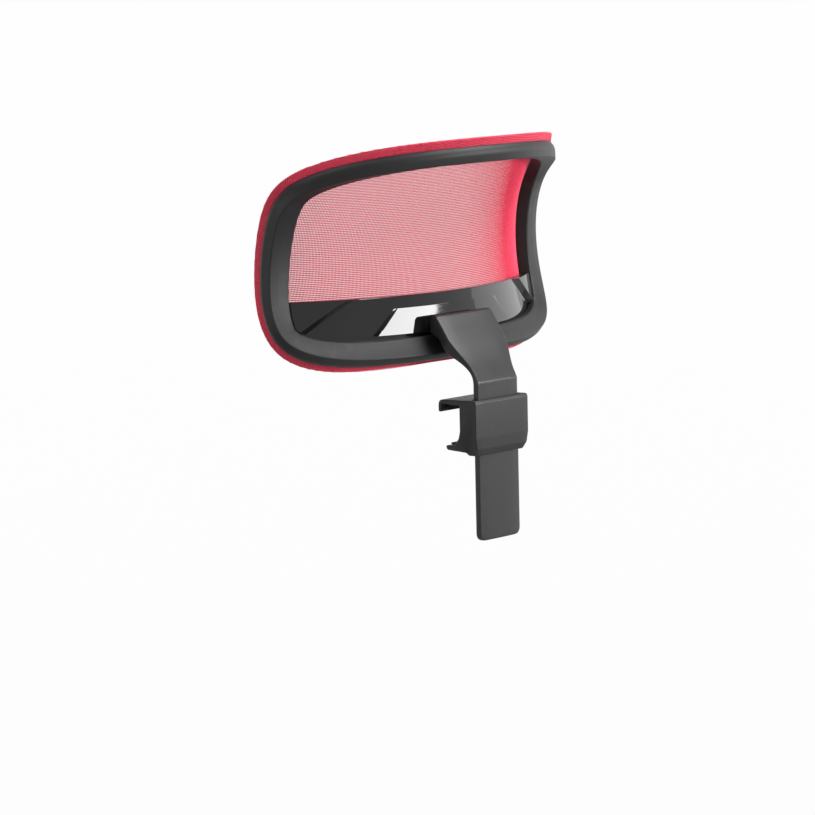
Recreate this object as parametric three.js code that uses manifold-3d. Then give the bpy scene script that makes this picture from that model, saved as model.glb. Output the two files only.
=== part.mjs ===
// Add-on headrest for a mesh-back office chair. Millimetres, +Z up, the sitter faces -Y.
// The origin is the middle of the rubber pad on which the clamp hangs on the backrest's top rail.
import * as THREE from 'three';
import { mergeVertices } from 'three/addons/utils/BufferGeometryUtils.js';
import Module from 'manifold-3d';

const wasm = await Module();
wasm.setup();

// ---------------------------------------------------------------- driving dimensions
const GAP = 0.3;                    // between pieces that touch

// headrest: a saddle, hollow from side to side and bulging towards the neck from top to bottom
const SADDLE = {
  centreY: -24, centreZ: 127.9,     // middle of the mesh
  arcRadius: 226.8,                 // side-to-side arc
  rockerRadius: 200.2,              // top-to-bottom arc
  lean: 0.1815,                     // backward lean at the middle, radians
  curl: 0.41,                       // how fast the top curls back, radians per (100 mm)^2
  wingSpan: 175.4,                  // where the wings' own twist is fully reached
  wingBow: 0.00119, wingTwist: -0.177,
};
const OUTLINE = {
  halfWidth: 175.4, upperHeight: 109.4, lowerHeight: 96.2,
  upperRoundX: 3.65, upperRoundY: 5.38, lowerRoundX: 2.93, lowerRoundY: 4.29,
  upperBow: 0.21, lowerBow: -0.16,  // how much the ends of the top and bottom edges drop or rise
  taper: -0.000575, cornerFlare: -0.04,
};
const STATIONS = 56;                // steps round the ring
const RING_WIDTH = 27;              // from the mesh's outer edge to the window, at the top and sides
const FOOT_NARROWING = 0.11;        // the ring's bottom rail is this much narrower
const PANEL_TOP = -39.5;            // height of the foot panel's top edge on the saddle
const PANEL_INSET = 17.5;           // how far the panel's flange reaches under the ring
const PANEL_FRONT = 0.7;
const PANEL_REAR = 4.2;
const BOSS_REAR = 7.4;
const MESH_FRONT = -0.9;
const MESH_REAR = 0.1;
const CARRIER_FRONT = 0.5;
const CARRIER_REAR = 3.9;
const FRAME_FOOT = 5.2;             // the rear frame stands on the wrapped mesh here
const PANEL_FOOT = 4.6;             // and clears the panel's flange here

// arm
const TONGUE = { rearY: 22, thickness: 5, halfWidth: 24.6, bottomZ: -106.8, cornerRadius: 6 };
const BEND_Z = 19.4;                // where the neck leaves the vertical
const HEAD = { rearY: -9.7, rearZ: 68.5, frontY: -18.5, halfWidth: 34, topZ: 72.2 };
// the neck's rear face, from the bend up to the head
const NECK = new THREE.QuadraticBezierCurve(
  new THREE.Vector2(TONGUE.rearY, BEND_Z), new THREE.Vector2(13.6, 37),
  new THREE.Vector2(HEAD.rearY, HEAD.rearZ));
const SKIN = 2.4;                   // wall of the arm's shell
const CORE = { halfWidth: 14, thickness: 2 };
const HINGE = { y: -15.4, z: 64, pinRadius: 2, eyeRadius: 4, knuckleHalf: 10 };

// clamp
const RAIL = { top: 0, halfThickness: 8, bottom: -29.5 };
const CLAMP = {
  halfWidth: 32.5, rearY: 26, topZ: 6, bottomZ: -38.5, flangeUnderZ: 1.8,
  noseY: -12.8, noseInnerY: -9.6, noseBottomZ: -4.5,
  wallY: 8.8, slantTopZ: -19, slantFootY: 2, lipTopZ: -31, lipUnderZ: -35, lipFrontY: -6.6,
};
const SLEEVE = { frontY: 16.6, rearY: 22.4, halfWidth: 26.6 };

// ---------------------------------------------------------------- colours and materials
const finish = (color, roughness, metalness = 0) => ({ color, roughness, metalness });
const BLACK_PLASTIC = finish(0x35363a, 0.5);
const GLOSS_PLASTIC = finish(0x17181b, 0.14);
const RED_MESH = finish(0xc32b3f, 0.8);
const RUBBER = finish(0x1c1c1e, 0.9);
const STEEL = finish(0x8d9196, 0.35, 1);
const BRASS = finish(0xb59a54, 0.35, 1);
const WHITE_ACETAL = finish(0xd9d9d4, 0.45);

const headrest = new THREE.Group();
headrest.name = 'chair_headrest';

function addNode(name, geometry, look) {
  const clean = geometry.clone();
  clean.computeVertexNormals();
  const mesh = new THREE.Mesh(clean, new THREE.MeshStandardMaterial(look));
  mesh.name = name;
  headrest.add(mesh);
}

// ---------------------------------------------------------------- solids and booleans
function toSolid(geometry) {
  const bare = geometry.clone();
  bare.deleteAttribute('normal');
  bare.deleteAttribute('uv');
  const merged = mergeVertices(bare, 1e-4);
  return new wasm.Manifold(new wasm.Mesh({
    numProp: 3,
    vertProperties: Float32Array.from(merged.attributes.position.array),
    triVerts: Uint32Array.from(merged.index.array),
  }));
}

function toGeometry(solid) {
  const mesh = solid.getMesh();
  const geometry = new THREE.BufferGeometry();
  geometry.setAttribute('position', new THREE.BufferAttribute(Float32Array.from(mesh.vertProperties), 3));
  geometry.setIndex(Array.from(mesh.triVerts));
  return geometry;
}

const cut = (solid, ...tools) => tools.reduce((rest, tool) => rest.subtract(tool), solid);
const join = (solid, ...others) => others.reduce((whole, other) => whole.add(other), solid);

function outlineShape(points) {
  return new THREE.Shape(points.map(([a, b]) => new THREE.Vector2(a, b)));
}

function extrude(shape, length, bevel) {
  const options = bevel > 0
    ? { depth: length - 2 * bevel, bevelEnabled: true, bevelThickness: bevel, bevelSize: bevel,
      bevelOffset: -bevel, bevelSegments: 2, curveSegments: 6 }
    : { depth: length, bevelEnabled: false, curveSegments: 4 };
  const geometry = new THREE.ExtrudeGeometry(shape, options);
  if (bevel > 0) geometry.translate(0, 0, bevel);
  return geometry;
}

// an outline drawn in Y and Z, extruded along X from x0 to x1
function alongX(shape, x0, x1, bevel = 0) {
  const geometry = extrude(shape, x1 - x0, bevel);
  geometry.applyMatrix4(new THREE.Matrix4().makeBasis(
    new THREE.Vector3(0, 1, 0), new THREE.Vector3(0, 0, 1), new THREE.Vector3(1, 0, 0)));
  geometry.translate(x0, 0, 0);
  return toSolid(geometry);
}

// an outline drawn in X and Z, extruded along Y from y0 to y1
function alongY(shape, y0, y1, bevel = 0) {
  const geometry = extrude(shape, y1 - y0, bevel);
  geometry.applyMatrix4(new THREE.Matrix4().makeBasis(
    new THREE.Vector3(1, 0, 0), new THREE.Vector3(0, 0, 1), new THREE.Vector3(0, -1, 0)));
  geometry.translate(0, y1, 0);
  return toSolid(geometry);
}

// an outline drawn in X and Y, extruded along Z from z0 to z1
function alongZ(shape, z0, z1, bevel = 0) {
  const geometry = extrude(shape, z1 - z0, bevel);
  geometry.translate(0, 0, z0);
  return toSolid(geometry);
}

function box(x0, x1, y0, y1, z0, z1) {
  const geometry = new THREE.BoxGeometry(x1 - x0, y1 - y0, z1 - z0);
  geometry.translate((x0 + x1) / 2, (y0 + y1) / 2, (z0 + z1) / 2);
  return toSolid(geometry);
}

// a cylinder from one point to another
function rod(from, to, radius, segments = 20) {
  const start = new THREE.Vector3(...from);
  const end = new THREE.Vector3(...to);
  const geometry = new THREE.CylinderGeometry(radius, radius, start.distanceTo(end), segments);
  const direction = end.clone().sub(start).normalize();
  const turn = new THREE.Quaternion().setFromUnitVectors(new THREE.Vector3(0, 1, 0), direction);
  geometry.applyQuaternion(turn);
  const middle = start.add(end).multiplyScalar(0.5);
  geometry.translate(middle.x, middle.y, middle.z);
  return toSolid(geometry);
}

// a rounded rectangle as a shape, centred on (a, b)
function roundedRectangle(a, b, halfA, halfB, radius) {
  const shape = new THREE.Shape();
  shape.moveTo(a - halfA + radius, b - halfB);
  shape.lineTo(a + halfA - radius, b - halfB);
  shape.absarc(a + halfA - radius, b - halfB + radius, radius, -Math.PI / 2, 0);
  shape.lineTo(a + halfA, b + halfB - radius);
  shape.absarc(a + halfA - radius, b + halfB - radius, radius, 0, Math.PI / 2);
  shape.lineTo(a - halfA + radius, b + halfB);
  shape.absarc(a - halfA + radius, b + halfB - radius, radius, Math.PI / 2, Math.PI);
  shape.lineTo(a - halfA, b - halfB + radius);
  shape.absarc(a - halfA + radius, b - halfB + radius, radius, Math.PI, 1.5 * Math.PI);
  return shape;
}

// a pan-head screw with a hexagon socket; the head's underside is at the origin, the shank runs along +Z
function screwSolid({ headRadius, headHeight, shankRadius, length }) {
  const profile = [
    [0, -headHeight], [headRadius, -headHeight], [headRadius, 0], [shankRadius, 0],
    [shankRadius, length], [0, length],
  ].map(([r, z]) => new THREE.Vector2(r, z));
  const body = new THREE.LatheGeometry(profile, 10);
  body.rotateX(Math.PI / 2);
  const socket = new THREE.CylinderGeometry(headRadius * 0.48, headRadius * 0.48, headHeight, 6);
  socket.rotateX(Math.PI / 2);
  socket.translate(0, 0, -headHeight);
  return cut(toSolid(body), toSolid(socket));
}

// ---------------------------------------------------------------- the saddle
// s runs along the side-to-side arc, t up the top-to-bottom arc, h backwards through the thickness
const leanAt = (t) => SADDLE.lean + t / SADDLE.rockerRadius + SADDLE.curl * (t / 100) ** 2;

function rockerPoint(t) {
  const steps = 40;
  let y = 0;
  let z = 0;
  for (let i = 0; i < steps; i += 1) {
    const angle = leanAt(t * (i + 0.5) / steps);
    y += Math.sin(angle) * t / steps;
    z += Math.cos(angle) * t / steps;
  }
  return [y, z];
}

function saddleNormal(s, t) {
  const phi = s / SADDLE.arcRadius;
  const wing = (s / SADDLE.wingSpan) ** 2;
  const psi = leanAt(t) + Math.atan(wing * (2 * SADDLE.wingBow * t + SADDLE.wingTwist));
  return new THREE.Vector3(Math.sin(phi) * Math.cos(psi), Math.cos(phi) * Math.cos(psi), -Math.sin(psi));
}

function saddlePoint(s, t, h) {
  const phi = s / SADDLE.arcRadius;
  const wing = (s / SADDLE.wingSpan) ** 2;
  const [rockY, rockZ] = rockerPoint(t);
  const wingY = wing * (SADDLE.wingBow * t * t + SADDLE.wingTwist * t);
  const base = new THREE.Vector3(
    SADDLE.arcRadius * Math.sin(phi),
    SADDLE.centreY - SADDLE.arcRadius * (1 - Math.cos(phi)) + rockY + wingY,
    SADDLE.centreZ + rockZ);
  return base.addScaledVector(saddleNormal(s, t), h);
}

// the ring's outer edge as a rounded, bowed rectangle, in even steps
function outlinePoint(angle) {
  const c = Math.cos(angle);
  const d = Math.sin(angle);
  const upper = d >= 0;
  const roundX = upper ? OUTLINE.upperRoundX : OUTLINE.lowerRoundX;
  const roundY = upper ? OUTLINE.upperRoundY : OUTLINE.lowerRoundY;
  const height = upper ? OUTLINE.upperHeight : OUTLINE.lowerHeight;
  const bow = upper ? OUTLINE.upperBow : OUTLINE.lowerBow;
  const s = OUTLINE.halfWidth * Math.sign(c) * Math.abs(c) ** (2 / roundX);
  const level = Math.sign(d) * Math.abs(d) ** (2 / roundY);
  const t = height * level * (1 - bow * (s / OUTLINE.halfWidth) ** 2);
  return [s * (1 + OUTLINE.taper * t) * (1 - OUTLINE.cornerFlare * level * level), t];
}

function evenOutline(count) {
  const fine = 1440;
  const points = Array.from({ length: fine + 1 }, (_, i) => outlinePoint(2 * Math.PI * i / fine));
  const walked = [0];
  for (let i = 1; i <= fine; i += 1) {
    const step = Math.hypot(points[i][0] - points[i - 1][0], points[i][1] - points[i - 1][1]);
    walked.push(walked[i - 1] + step);
  }
  const even = [];
  let k = 0;
  for (let j = 0; j < count; j += 1) {
    const target = walked[fine] * j / count;
    while (walked[k + 1] < target) k += 1;
    const f = (target - walked[k]) / (walked[k + 1] - walked[k]);
    even.push([0, 1].map((axis) => points[k][axis] * (1 - f) + points[k + 1][axis] * f));
  }
  return even;
}

const RIM = evenOutline(STATIONS);
const INWARD = RIM.map((_, j) => {
  const before = RIM[(j + STATIONS - 1) % STATIONS];
  const after = RIM[(j + 1) % STATIONS];
  const length = Math.hypot(after[0] - before[0], after[1] - before[1]);
  return [-(after[1] - before[1]) / length, (after[0] - before[0]) / length];
});

// the place on the saddle that lies w inside the rim at station j
function inset(j, w) {
  const reach = w * (1 - FOOT_NARROWING * Math.max(0, INWARD[j][1]) ** 2);
  return [RIM[j][0] + INWARD[j][0] * reach, RIM[j][1] + INWARD[j][1] * reach];
}

// the rim station whose inset point is nearest to (s, t)
function nearestStation(s, t, w) {
  const distances = RIM.map((_, j) => {
    const [a, b] = inset(j, w);
    return Math.hypot(a - s, b - t);
  });
  return distances.indexOf(Math.min(...distances));
}

function indexedGeometry(points, triangles) {
  const geometry = new THREE.BufferGeometry();
  const flat = points.flatMap((p) => p.toArray());
  geometry.setAttribute('position', new THREE.Float32BufferAttribute(flat, 3));
  geometry.setIndex(triangles.flat());
  return geometry;
}

// make a solid whichever way round its triangles were listed
function solidFrom(points, triangles) {
  const solid = toSolid(indexedGeometry(points, triangles));
  if (solid.volume() > 0) return solid;
  return toSolid(indexedGeometry(points, triangles.map(([a, b, c]) => [a, c, b])));
}

// sweep a closed section of (w, h) points round the rim; h may depend on the place's own t
function ringSolid(section) {
  const count = section.length;
  const points = [];
  for (let j = 0; j < STATIONS; j += 1) {
    for (const [w, h] of section) {
      const [s, t] = inset(j, w);
      points.push(saddlePoint(s, t, typeof h === 'function' ? h(t) : h));
    }
  }
  const triangles = [];
  for (let j = 0; j < STATIONS; j += 1) {
    const next = ((j + 1) % STATIONS) * count;
    for (let i = 0; i < count; i += 1) {
      const k = (i + 1) % count;
      triangles.push([j * count + i, next + i, next + k], [j * count + i, next + k, j * count + k]);
    }
  }
  return solidFrom(points, triangles);
}

// a skin over the whole outline: from the middle out along the front, round the rim and back in
function coverSolid(frontRows, rearRows) {
  const rows = [...frontRows, ...rearRows];
  const points = rows.flatMap(([scale, w, h]) => RIM.map((_, j) => {
    const [s, t] = inset(j, w);
    return saddlePoint(s * scale, t * scale, h);
  }));
  const frontPole = points.length;
  points.push(saddlePoint(0, 0, frontRows[0][2]));
  const rearPole = points.length;
  points.push(saddlePoint(0, 0, rearRows[rearRows.length - 1][2]));
  const triangles = [];
  for (let j = 0; j < STATIONS; j += 1) {
    const k = (j + 1) % STATIONS;
    for (let i = 0; i + 1 < rows.length; i += 1) {
      const a = i * STATIONS;
      const b = a + STATIONS;
      triangles.push([a + j, b + j, b + k], [a + j, b + k, a + k]);
    }
    const last = (rows.length - 1) * STATIONS;
    triangles.push([frontPole, j, k], [rearPole, last + k, last + j]);
  }
  return solidFrom(points, triangles);
}

// a plate on the saddle: columns from left to right, each from a low t to a high t
function plateSolid(columns, rows, front, rear) {
  const points = [];
  for (const h of [front, rear]) {
    for (const [s, low, high] of columns) {
      for (let i = 0; i < rows; i += 1) {
        points.push(saddlePoint(s, low + (high - low) * i / (rows - 1), h));
      }
    }
  }
  const layer = columns.length * rows;
  const triangles = [];
  const quad = (a, b, c, d) => triangles.push([a, b, c], [a, c, d]);
  for (let c = 0; c + 1 < columns.length; c += 1) {
    for (let i = 0; i + 1 < rows; i += 1) {
      const a = c * rows + i;
      quad(a, a + rows, a + rows + 1, a + 1);
      quad(layer + a, layer + a + 1, layer + a + rows + 1, layer + a + rows);
    }
    const low = c * rows;
    const high = low + rows - 1;
    quad(low, layer + low, layer + low + rows, low + rows);
    quad(high, high + rows, layer + high + rows, layer + high);
  }
  const lastColumn = layer - rows;
  for (let i = 0; i + 1 < rows; i += 1) {
    quad(i, i + 1, layer + i + 1, layer + i);
    quad(lastColumn + i, layer + lastColumn + i, layer + lastColumn + i + 1, lastColumn + i + 1);
  }
  return solidFrom(points, triangles);
}

// move a solid built round +Z to a place on the saddle, with +Z pointing backwards through it
function onSaddle(solid, s, t, h) {
  const place = saddlePoint(s, t, h);
  const turn = new THREE.Quaternion().setFromUnitVectors(new THREE.Vector3(0, 0, 1), saddleNormal(s, t));
  const geometry = toGeometry(solid).applyQuaternion(turn);
  geometry.translate(place.x, place.y, place.z);
  return toSolid(geometry);
}

function saddleRod(s, t, h0, h1, radius, segments = 16) {
  return rod(saddlePoint(s, t, h0).toArray(), saddlePoint(s, t, h1).toArray(), radius, segments);
}

// ---------------------------------------------------------------- headrest pieces
const FRAME_SCREW_INSET = 13.2;
const PANEL_SCREW_INSET = 21.6;
const BOSS_CLEARANCE = 0.5;
const BOSS_RADIUS = 3;
const FRAME_BOSS_ROOF = 15;         // where the bosses end, inside the ridge
const PANEL_BOSS_ROOF = 10.6;
const SADDLE_SCREW = { headRadius: 2.7, headHeight: 1.3, shankRadius: 1.35, length: 5.4, seat: 2.15 };
const SADDLE_HOLE = { thread: 1.5, through: 1.7, head: 3, seat: 2.2, top: 8.6 };
const FRAME_SCREW_PLACES = [0.06, 0.17, 0.33, 0.44, 0.56, 0.69, 0.81, 0.94].map((part) => {
  const j = Math.round(part * STATIONS) % STATIONS;
  return inset(j, FRAME_SCREW_INSET);
});
const PANEL_SCREW_PLACES = [-104, -44, 44, 104].map((s) => {
  const j = nearestStation(s, -OUTLINE.lowerHeight, 0);
  return inset(j, PANEL_SCREW_INSET);
});

// a through hole with a counterbore for the head, from the front
function cutSaddleHoles(solid, places) {
  const front = -1;
  const rear = 6;
  return cut(solid, ...places.flatMap(([s, t]) => [
    saddleRod(s, t, front, rear, SADDLE_HOLE.through, 8),
    saddleRod(s, t, front, SADDLE_HOLE.seat, SADDLE_HOLE.head, 8),
  ]));
}

function rearFrame() {
  const foot = (t) => (t < PANEL_TOP + 12 ? PANEL_FOOT : CARRIER_FRONT + 0.2);
  let ring = ringSolid([
    [5.4, FRAME_FOOT], [4.8, 8.5], [5.4, 12.2], [7.6, 15.4], [10.5, 16.8], [14, 16.2], [20, 13.2],
    [25.6, 10.4], [27, 9.2], [27, foot], [24.8, foot], [24.8, 8.2], [19.2, 11], [13.5, 13.9],
    [10.8, 14.4], [9, 13.4], [7.6, 11.4], [7.1, 8.5], [7.6, FRAME_FOOT],
  ]);
  const screwed = [
    ...FRAME_SCREW_PLACES.map(([s, t]) => [s, t, CARRIER_REAR + BOSS_CLEARANCE, FRAME_BOSS_ROOF]),
    ...PANEL_SCREW_PLACES.map(([s, t]) => [s, t, PANEL_FOOT, PANEL_BOSS_ROOF]),
  ];
  for (const [s, t, seat, roof] of screwed) ring = join(ring, saddleRod(s, t, seat, roof, BOSS_RADIUS, 8));
  for (const [s, t, seat] of screwed) {
    ring = cut(ring, saddleRod(s, t, seat - 1, SADDLE_HOLE.top, SADDLE_HOLE.thread, 8));
  }
  return toGeometry(ring);
}

function carrierFrame() {
  const ring = ringSolid([
    [3.2, CARRIER_FRONT], [10, CARRIER_FRONT], [16.6, CARRIER_FRONT], [16.6, CARRIER_REAR],
    [9.3, CARRIER_REAR], [9.3, 2.5], [7.3, 2.5], [7.3, CARRIER_REAR], [6, CARRIER_REAR], [2.5, 1.5],
  ]);
  return toGeometry(cutSaddleHoles(ring, FRAME_SCREW_PLACES));
}

function meshRetainer() {
  return toGeometry(ringSolid([[7.6, 2.8], [9, 2.8], [9, 4.6], [7.6, 4.6]]));
}

function meshCover() {
  const front = [
    [0.33, RING_WIDTH, MESH_FRONT], [0.66, RING_WIDTH, MESH_FRONT], [1, RING_WIDTH, MESH_FRONT],
    [1, 21, MESH_FRONT], [1, 15, MESH_FRONT], [1, 9, MESH_FRONT], [1, 3, MESH_FRONT],
    [1, 0.8, -0.6], [1, 0, 0.3], [1, 5, 4.9], [1, 7.1, 4.9],
  ];
  const rear = [
    [1, 7.1, 4.25], [1, 5.3, 4.25], [1, 1.6, 1.3], [1, 1.4, 0.6], [1, 3, MESH_REAR],
    [1, 9, MESH_REAR], [1, 15, MESH_REAR], [1, 21, MESH_REAR], [1, RING_WIDTH, MESH_REAR],
    [0.66, RING_WIDTH, MESH_REAR], [0.33, RING_WIDTH, MESH_REAR],
  ];
  return toGeometry(coverSolid(front, rear));
}

// the foot panel follows the rim's lower half, inside the carrier, up to a level top edge
const PANEL_COLUMNS = (() => {
  const lower = RIM.map((_, j) => inset(j, PANEL_INSET)).filter(([, t]) => t < PANEL_TOP - 2);
  const columns = lower.map(([s, t]) => [s, t, PANEL_TOP]).sort((a, b) => a[0] - b[0]);
  return columns.filter(([s], i) => i === 0 || s - columns[i - 1][0] > 1.5);
})();

// the raised plateau behind which the arm's head sits
const PLATEAU = { topHalf: 60, bottomHalf: 75, top: -48, bottom: -69 };

function plateauColumns(grow) {
  const steps = 12;
  const half = PLATEAU.bottomHalf + grow;
  return Array.from({ length: steps + 1 }, (_, i) => {
    const s = -half + 2 * half * i / steps;
    const shoulder = PLATEAU.topHalf + grow;
    const over = Math.max(0, (Math.abs(s) - shoulder) / (half - shoulder));
    const high = PLATEAU.top + grow * 0.5 - over * (PLATEAU.top - PLATEAU.bottom + grow - 0.6);
    return [s, PLATEAU.bottom - grow * 0.5, high];
  });
}

function footPanel() {
  const plate = plateSolid(PANEL_COLUMNS, 3, PANEL_FRONT, PANEL_REAR);
  const lower = plateSolid(plateauColumns(3), 3, PANEL_REAR - 0.6, BOSS_REAR - 1.4);
  const upper = plateSolid(plateauColumns(0), 3, PANEL_REAR, BOSS_REAR);
  let panel = cutSaddleHoles(join(plate, lower, upper), PANEL_SCREW_PLACES);
  for (const [x, z] of BRACKET_SCREW_PLACES) {
    const front = [x, -40, z];
    const shank = rod(front, [x, BRACKET.baseFront + 3, z], 1.5, 8);
    const head = rod(front, [x, BRACKET.baseFront - BRACKET_SCREW.seat + 0.05, z], 2.5, 10);
    panel = cut(panel, shank, head);
  }
  return toGeometry(panel);
}

// ---------------------------------------------------------------- hinge between arm and headrest
const BRACKET = {
  baseFront: HINGE.y - 5.9, baseRear: HINGE.y - 4.3, halfWidth: 28.6, low: HINGE.z - 7.2, high: HINGE.z + 3.9,
};
const BRACKET_SCREW_PLACES = [[-24.6, 1.2], [24.6, 1.2], [-24.6, -4.2], [24.6, -4.2]]
  .map(([x, fromPin]) => [x, HINGE.z + fromPin]);
const BRACKET_SCREW = { headRadius: 2.2, headHeight: 1.4, shankRadius: 1.15, length: 5.4, seat: 3.25 };
const LUG = { inner: HINGE.knuckleHalf + 1.7, outer: HINGE.knuckleHalf + 6.2 };

// a hinge eye: a disc round the pin with a tail that runs forwards or backwards to y
function eyeShape(tailY) {
  const shape = new THREE.Shape();
  const r = HINGE.eyeRadius;
  const side = tailY > HINGE.y ? 1 : -1;
  shape.moveTo(tailY, HINGE.z - r);
  shape.lineTo(tailY, HINGE.z + r);
  shape.lineTo(HINGE.y, HINGE.z + r);
  shape.absarc(HINGE.y, HINGE.z, r, Math.PI / 2, Math.PI * 1.5, side < 0);
  return shape;
}

function pivotBracket() {
  const base = alongY(
    roundedRectangle(0, (BRACKET.low + BRACKET.high) / 2, BRACKET.halfWidth,
      (BRACKET.high - BRACKET.low) / 2, 2.5),
    BRACKET.baseFront, BRACKET.baseRear);
  const knuckle = alongX(eyeShape(BRACKET.baseFront + 0.4), -HINGE.knuckleHalf, HINGE.knuckleHalf);
  let bracket = join(base, knuckle);
  bracket = cut(bracket, rod([-40, HINGE.y, HINGE.z], [40, HINGE.y, HINGE.z], HINGE.pinRadius + 0.2, 24));
  for (const [x, z] of BRACKET_SCREW_PLACES) {
    const boss = rod([x, BRACKET.baseFront + 0.4, z], [x, BRACKET.baseRear + 1.4, z], 2.4, 10);
    bracket = cut(join(bracket, boss), rod([x, -40, z], [x, BRACKET.baseRear + 3, z], 1.3, 8));
  }
  return toGeometry(bracket);
}

function frictionWasher(side) {
  const near = HINGE.knuckleHalf + GAP;
  const far = LUG.inner - GAP;
  const ends = [side * near, side * far].sort((a, b) => a - b);
  const disc = rod([ends[0], HINGE.y, HINGE.z], [ends[1], HINGE.y, HINGE.z], HINGE.eyeRadius - 0.3, 20);
  const bore = rod([ends[0] - 1, HINGE.y, HINGE.z], [ends[1] + 1, HINGE.y, HINGE.z],
    HINGE.pinRadius + 0.25, 20);
  return toGeometry(cut(disc, bore));
}

function hingePin() {
  const end = LUG.outer + 4.6;
  const shaft = rod([-end, HINGE.y, HINGE.z], [LUG.outer + 1, HINGE.y, HINGE.z], HINGE.pinRadius - 0.05, 20);
  const head = rod([LUG.outer + GAP, HINGE.y, HINGE.z], [LUG.outer + 3, HINGE.y, HINGE.z], 3.4, 20);
  const socket = rod([LUG.outer + 1.4, HINGE.y, HINGE.z], [LUG.outer + 4, HINGE.y, HINGE.z], 1.5, 6);
  return toGeometry(cut(join(shaft, head), socket));
}

function hingeNut() {
  const nut = rod([-LUG.outer - 3.9, HINGE.y, HINGE.z], [-LUG.outer - GAP, HINGE.y, HINGE.z], 3.8, 6);
  const bore = rod([-LUG.outer - 6, HINGE.y, HINGE.z], [-LUG.outer + 1, HINGE.y, HINGE.z],
    HINGE.pinRadius + 0.2, 20);
  return toGeometry(cut(nut, bore));
}

// ---------------------------------------------------------------- arm pieces
const TONGUE_FRONT = TONGUE.rearY - TONGUE.thickness;

// side view of the arm, rear face first and then the front face back down
function armSideShape() {
  const shape = new THREE.Shape();
  shape.moveTo(TONGUE.rearY, TONGUE.bottomZ);
  shape.lineTo(TONGUE.rearY, BEND_Z);
  shape.quadraticCurveTo(NECK.v1.x, NECK.v1.y, HEAD.rearY, HEAD.rearZ);
  shape.quadraticCurveTo(HEAD.rearY - 2.2, HEAD.topZ - 0.4, HEAD.rearY - 5, HEAD.topZ);
  shape.lineTo(HEAD.frontY + 2, HEAD.topZ - 0.4);
  shape.quadraticCurveTo(HEAD.frontY, HEAD.topZ - 0.6, HEAD.frontY, HEAD.topZ - 2.6);
  shape.lineTo(HEAD.frontY + 0.4, 59.6);
  shape.quadraticCurveTo(HEAD.frontY + 1, 56.8, HEAD.frontY + 4, 56);
  shape.quadraticCurveTo(-10, 54.4, -7.6, 49.6);
  shape.quadraticCurveTo(-4.6, 42.4, 1.6, 38.4);
  shape.quadraticCurveTo(10, 32.6, 14.6, 26.6);
  shape.quadraticCurveTo(TONGUE_FRONT, 22.4, TONGUE_FRONT, 16);
  shape.lineTo(TONGUE_FRONT, TONGUE.bottomZ);
  return shape;
}

// front view of the arm: parallel tongue and a neck that widens to the head; grow moves the sides outwards
function armFrontShape(grow) {
  const w = TONGUE.halfWidth + grow;
  const h = HEAD.halfWidth + grow;
  const r = TONGUE.cornerRadius + grow;
  const shape = new THREE.Shape();
  const bottom = TONGUE.bottomZ - grow;
  shape.moveTo(-w + r, bottom);
  shape.lineTo(w - r, bottom);
  shape.absarc(w - r, bottom + r, r, -Math.PI / 2, 0);
  shape.lineTo(w, 26);
  shape.bezierCurveTo(w, 36, h, 40, h, 56);
  shape.lineTo(h, 90);
  shape.lineTo(-h, 90);
  shape.lineTo(-h, 56);
  shape.bezierCurveTo(-h, 40, -w, 36, -w, 26);
  shape.lineTo(-w, bottom + r);
  shape.absarc(-w + r, bottom + r, r, Math.PI, Math.PI * 1.5);
  return shape;
}

const ARM_FRONT = HEAD.frontY - 2;
const ARM_REAR = TONGUE.rearY + 2;

// the line that lies a given depth below the arm's rear face, from z0 up to the head
function rearLine(depth, z0) {
  const line = [[TONGUE.rearY - depth, z0]];
  const steps = 10;
  for (let i = 0; i <= steps; i += 1) {
    const place = NECK.getPoint(i / steps);
    const along = NECK.getTangent(i / steps);
    line.push([place.x - depth * along.y, place.y + depth * along.x]);
  }
  return line;
}

// a strip of even thickness that follows the arm's rear face
const stripShape = (depth, thickness, z0) => outlineShape([
  ...rearLine(depth, z0), ...rearLine(depth + thickness, z0).reverse(),
]);

const NECK_CAVITY_LOW = 37.2;
const COVER = { low: NECK_CAVITY_LOW + GAP, thickness: 2, high: 55.5 };
const COVER_SCREWS = [[-20, 42], [20, 42], [-20, 51.5], [20, 51.5]];
const COVER_SCREW = { headRadius: 2.6, headHeight: 1.3, shankRadius: 1.25, length: 4.4 };
const STOP_SCREW = { ...COVER_SCREW, headHeight: 1.2 };
const COVER_HOLE = { thread: 1.45, through: 1.7, head: 2.9 };

// the hollow of the neck and head, open to the front
function armCavity() {
  const rear = rearLine(SKIN, NECK_CAVITY_LOW).filter(([, z]) => z < HEAD.topZ - SKIN - 1);
  const low = rear.findIndex(([, z], i) => i > 0 && z > NECK_CAVITY_LOW);
  const side = outlineShape([
    [ARM_FRONT - 20, NECK_CAVITY_LOW], [rearAt(NECK_CAVITY_LOW) - SKIN * 1.2, NECK_CAVITY_LOW],
    ...rear.slice(low), [HEAD.rearY - 4, HEAD.topZ - SKIN], [ARM_FRONT - 20, HEAD.topZ - SKIN],
  ]);
  return alongX(side, -HEAD.halfWidth, HEAD.halfWidth)
    .intersect(alongY(armFrontShape(-SKIN), ARM_FRONT - 20, ARM_REAR));
}

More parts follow.
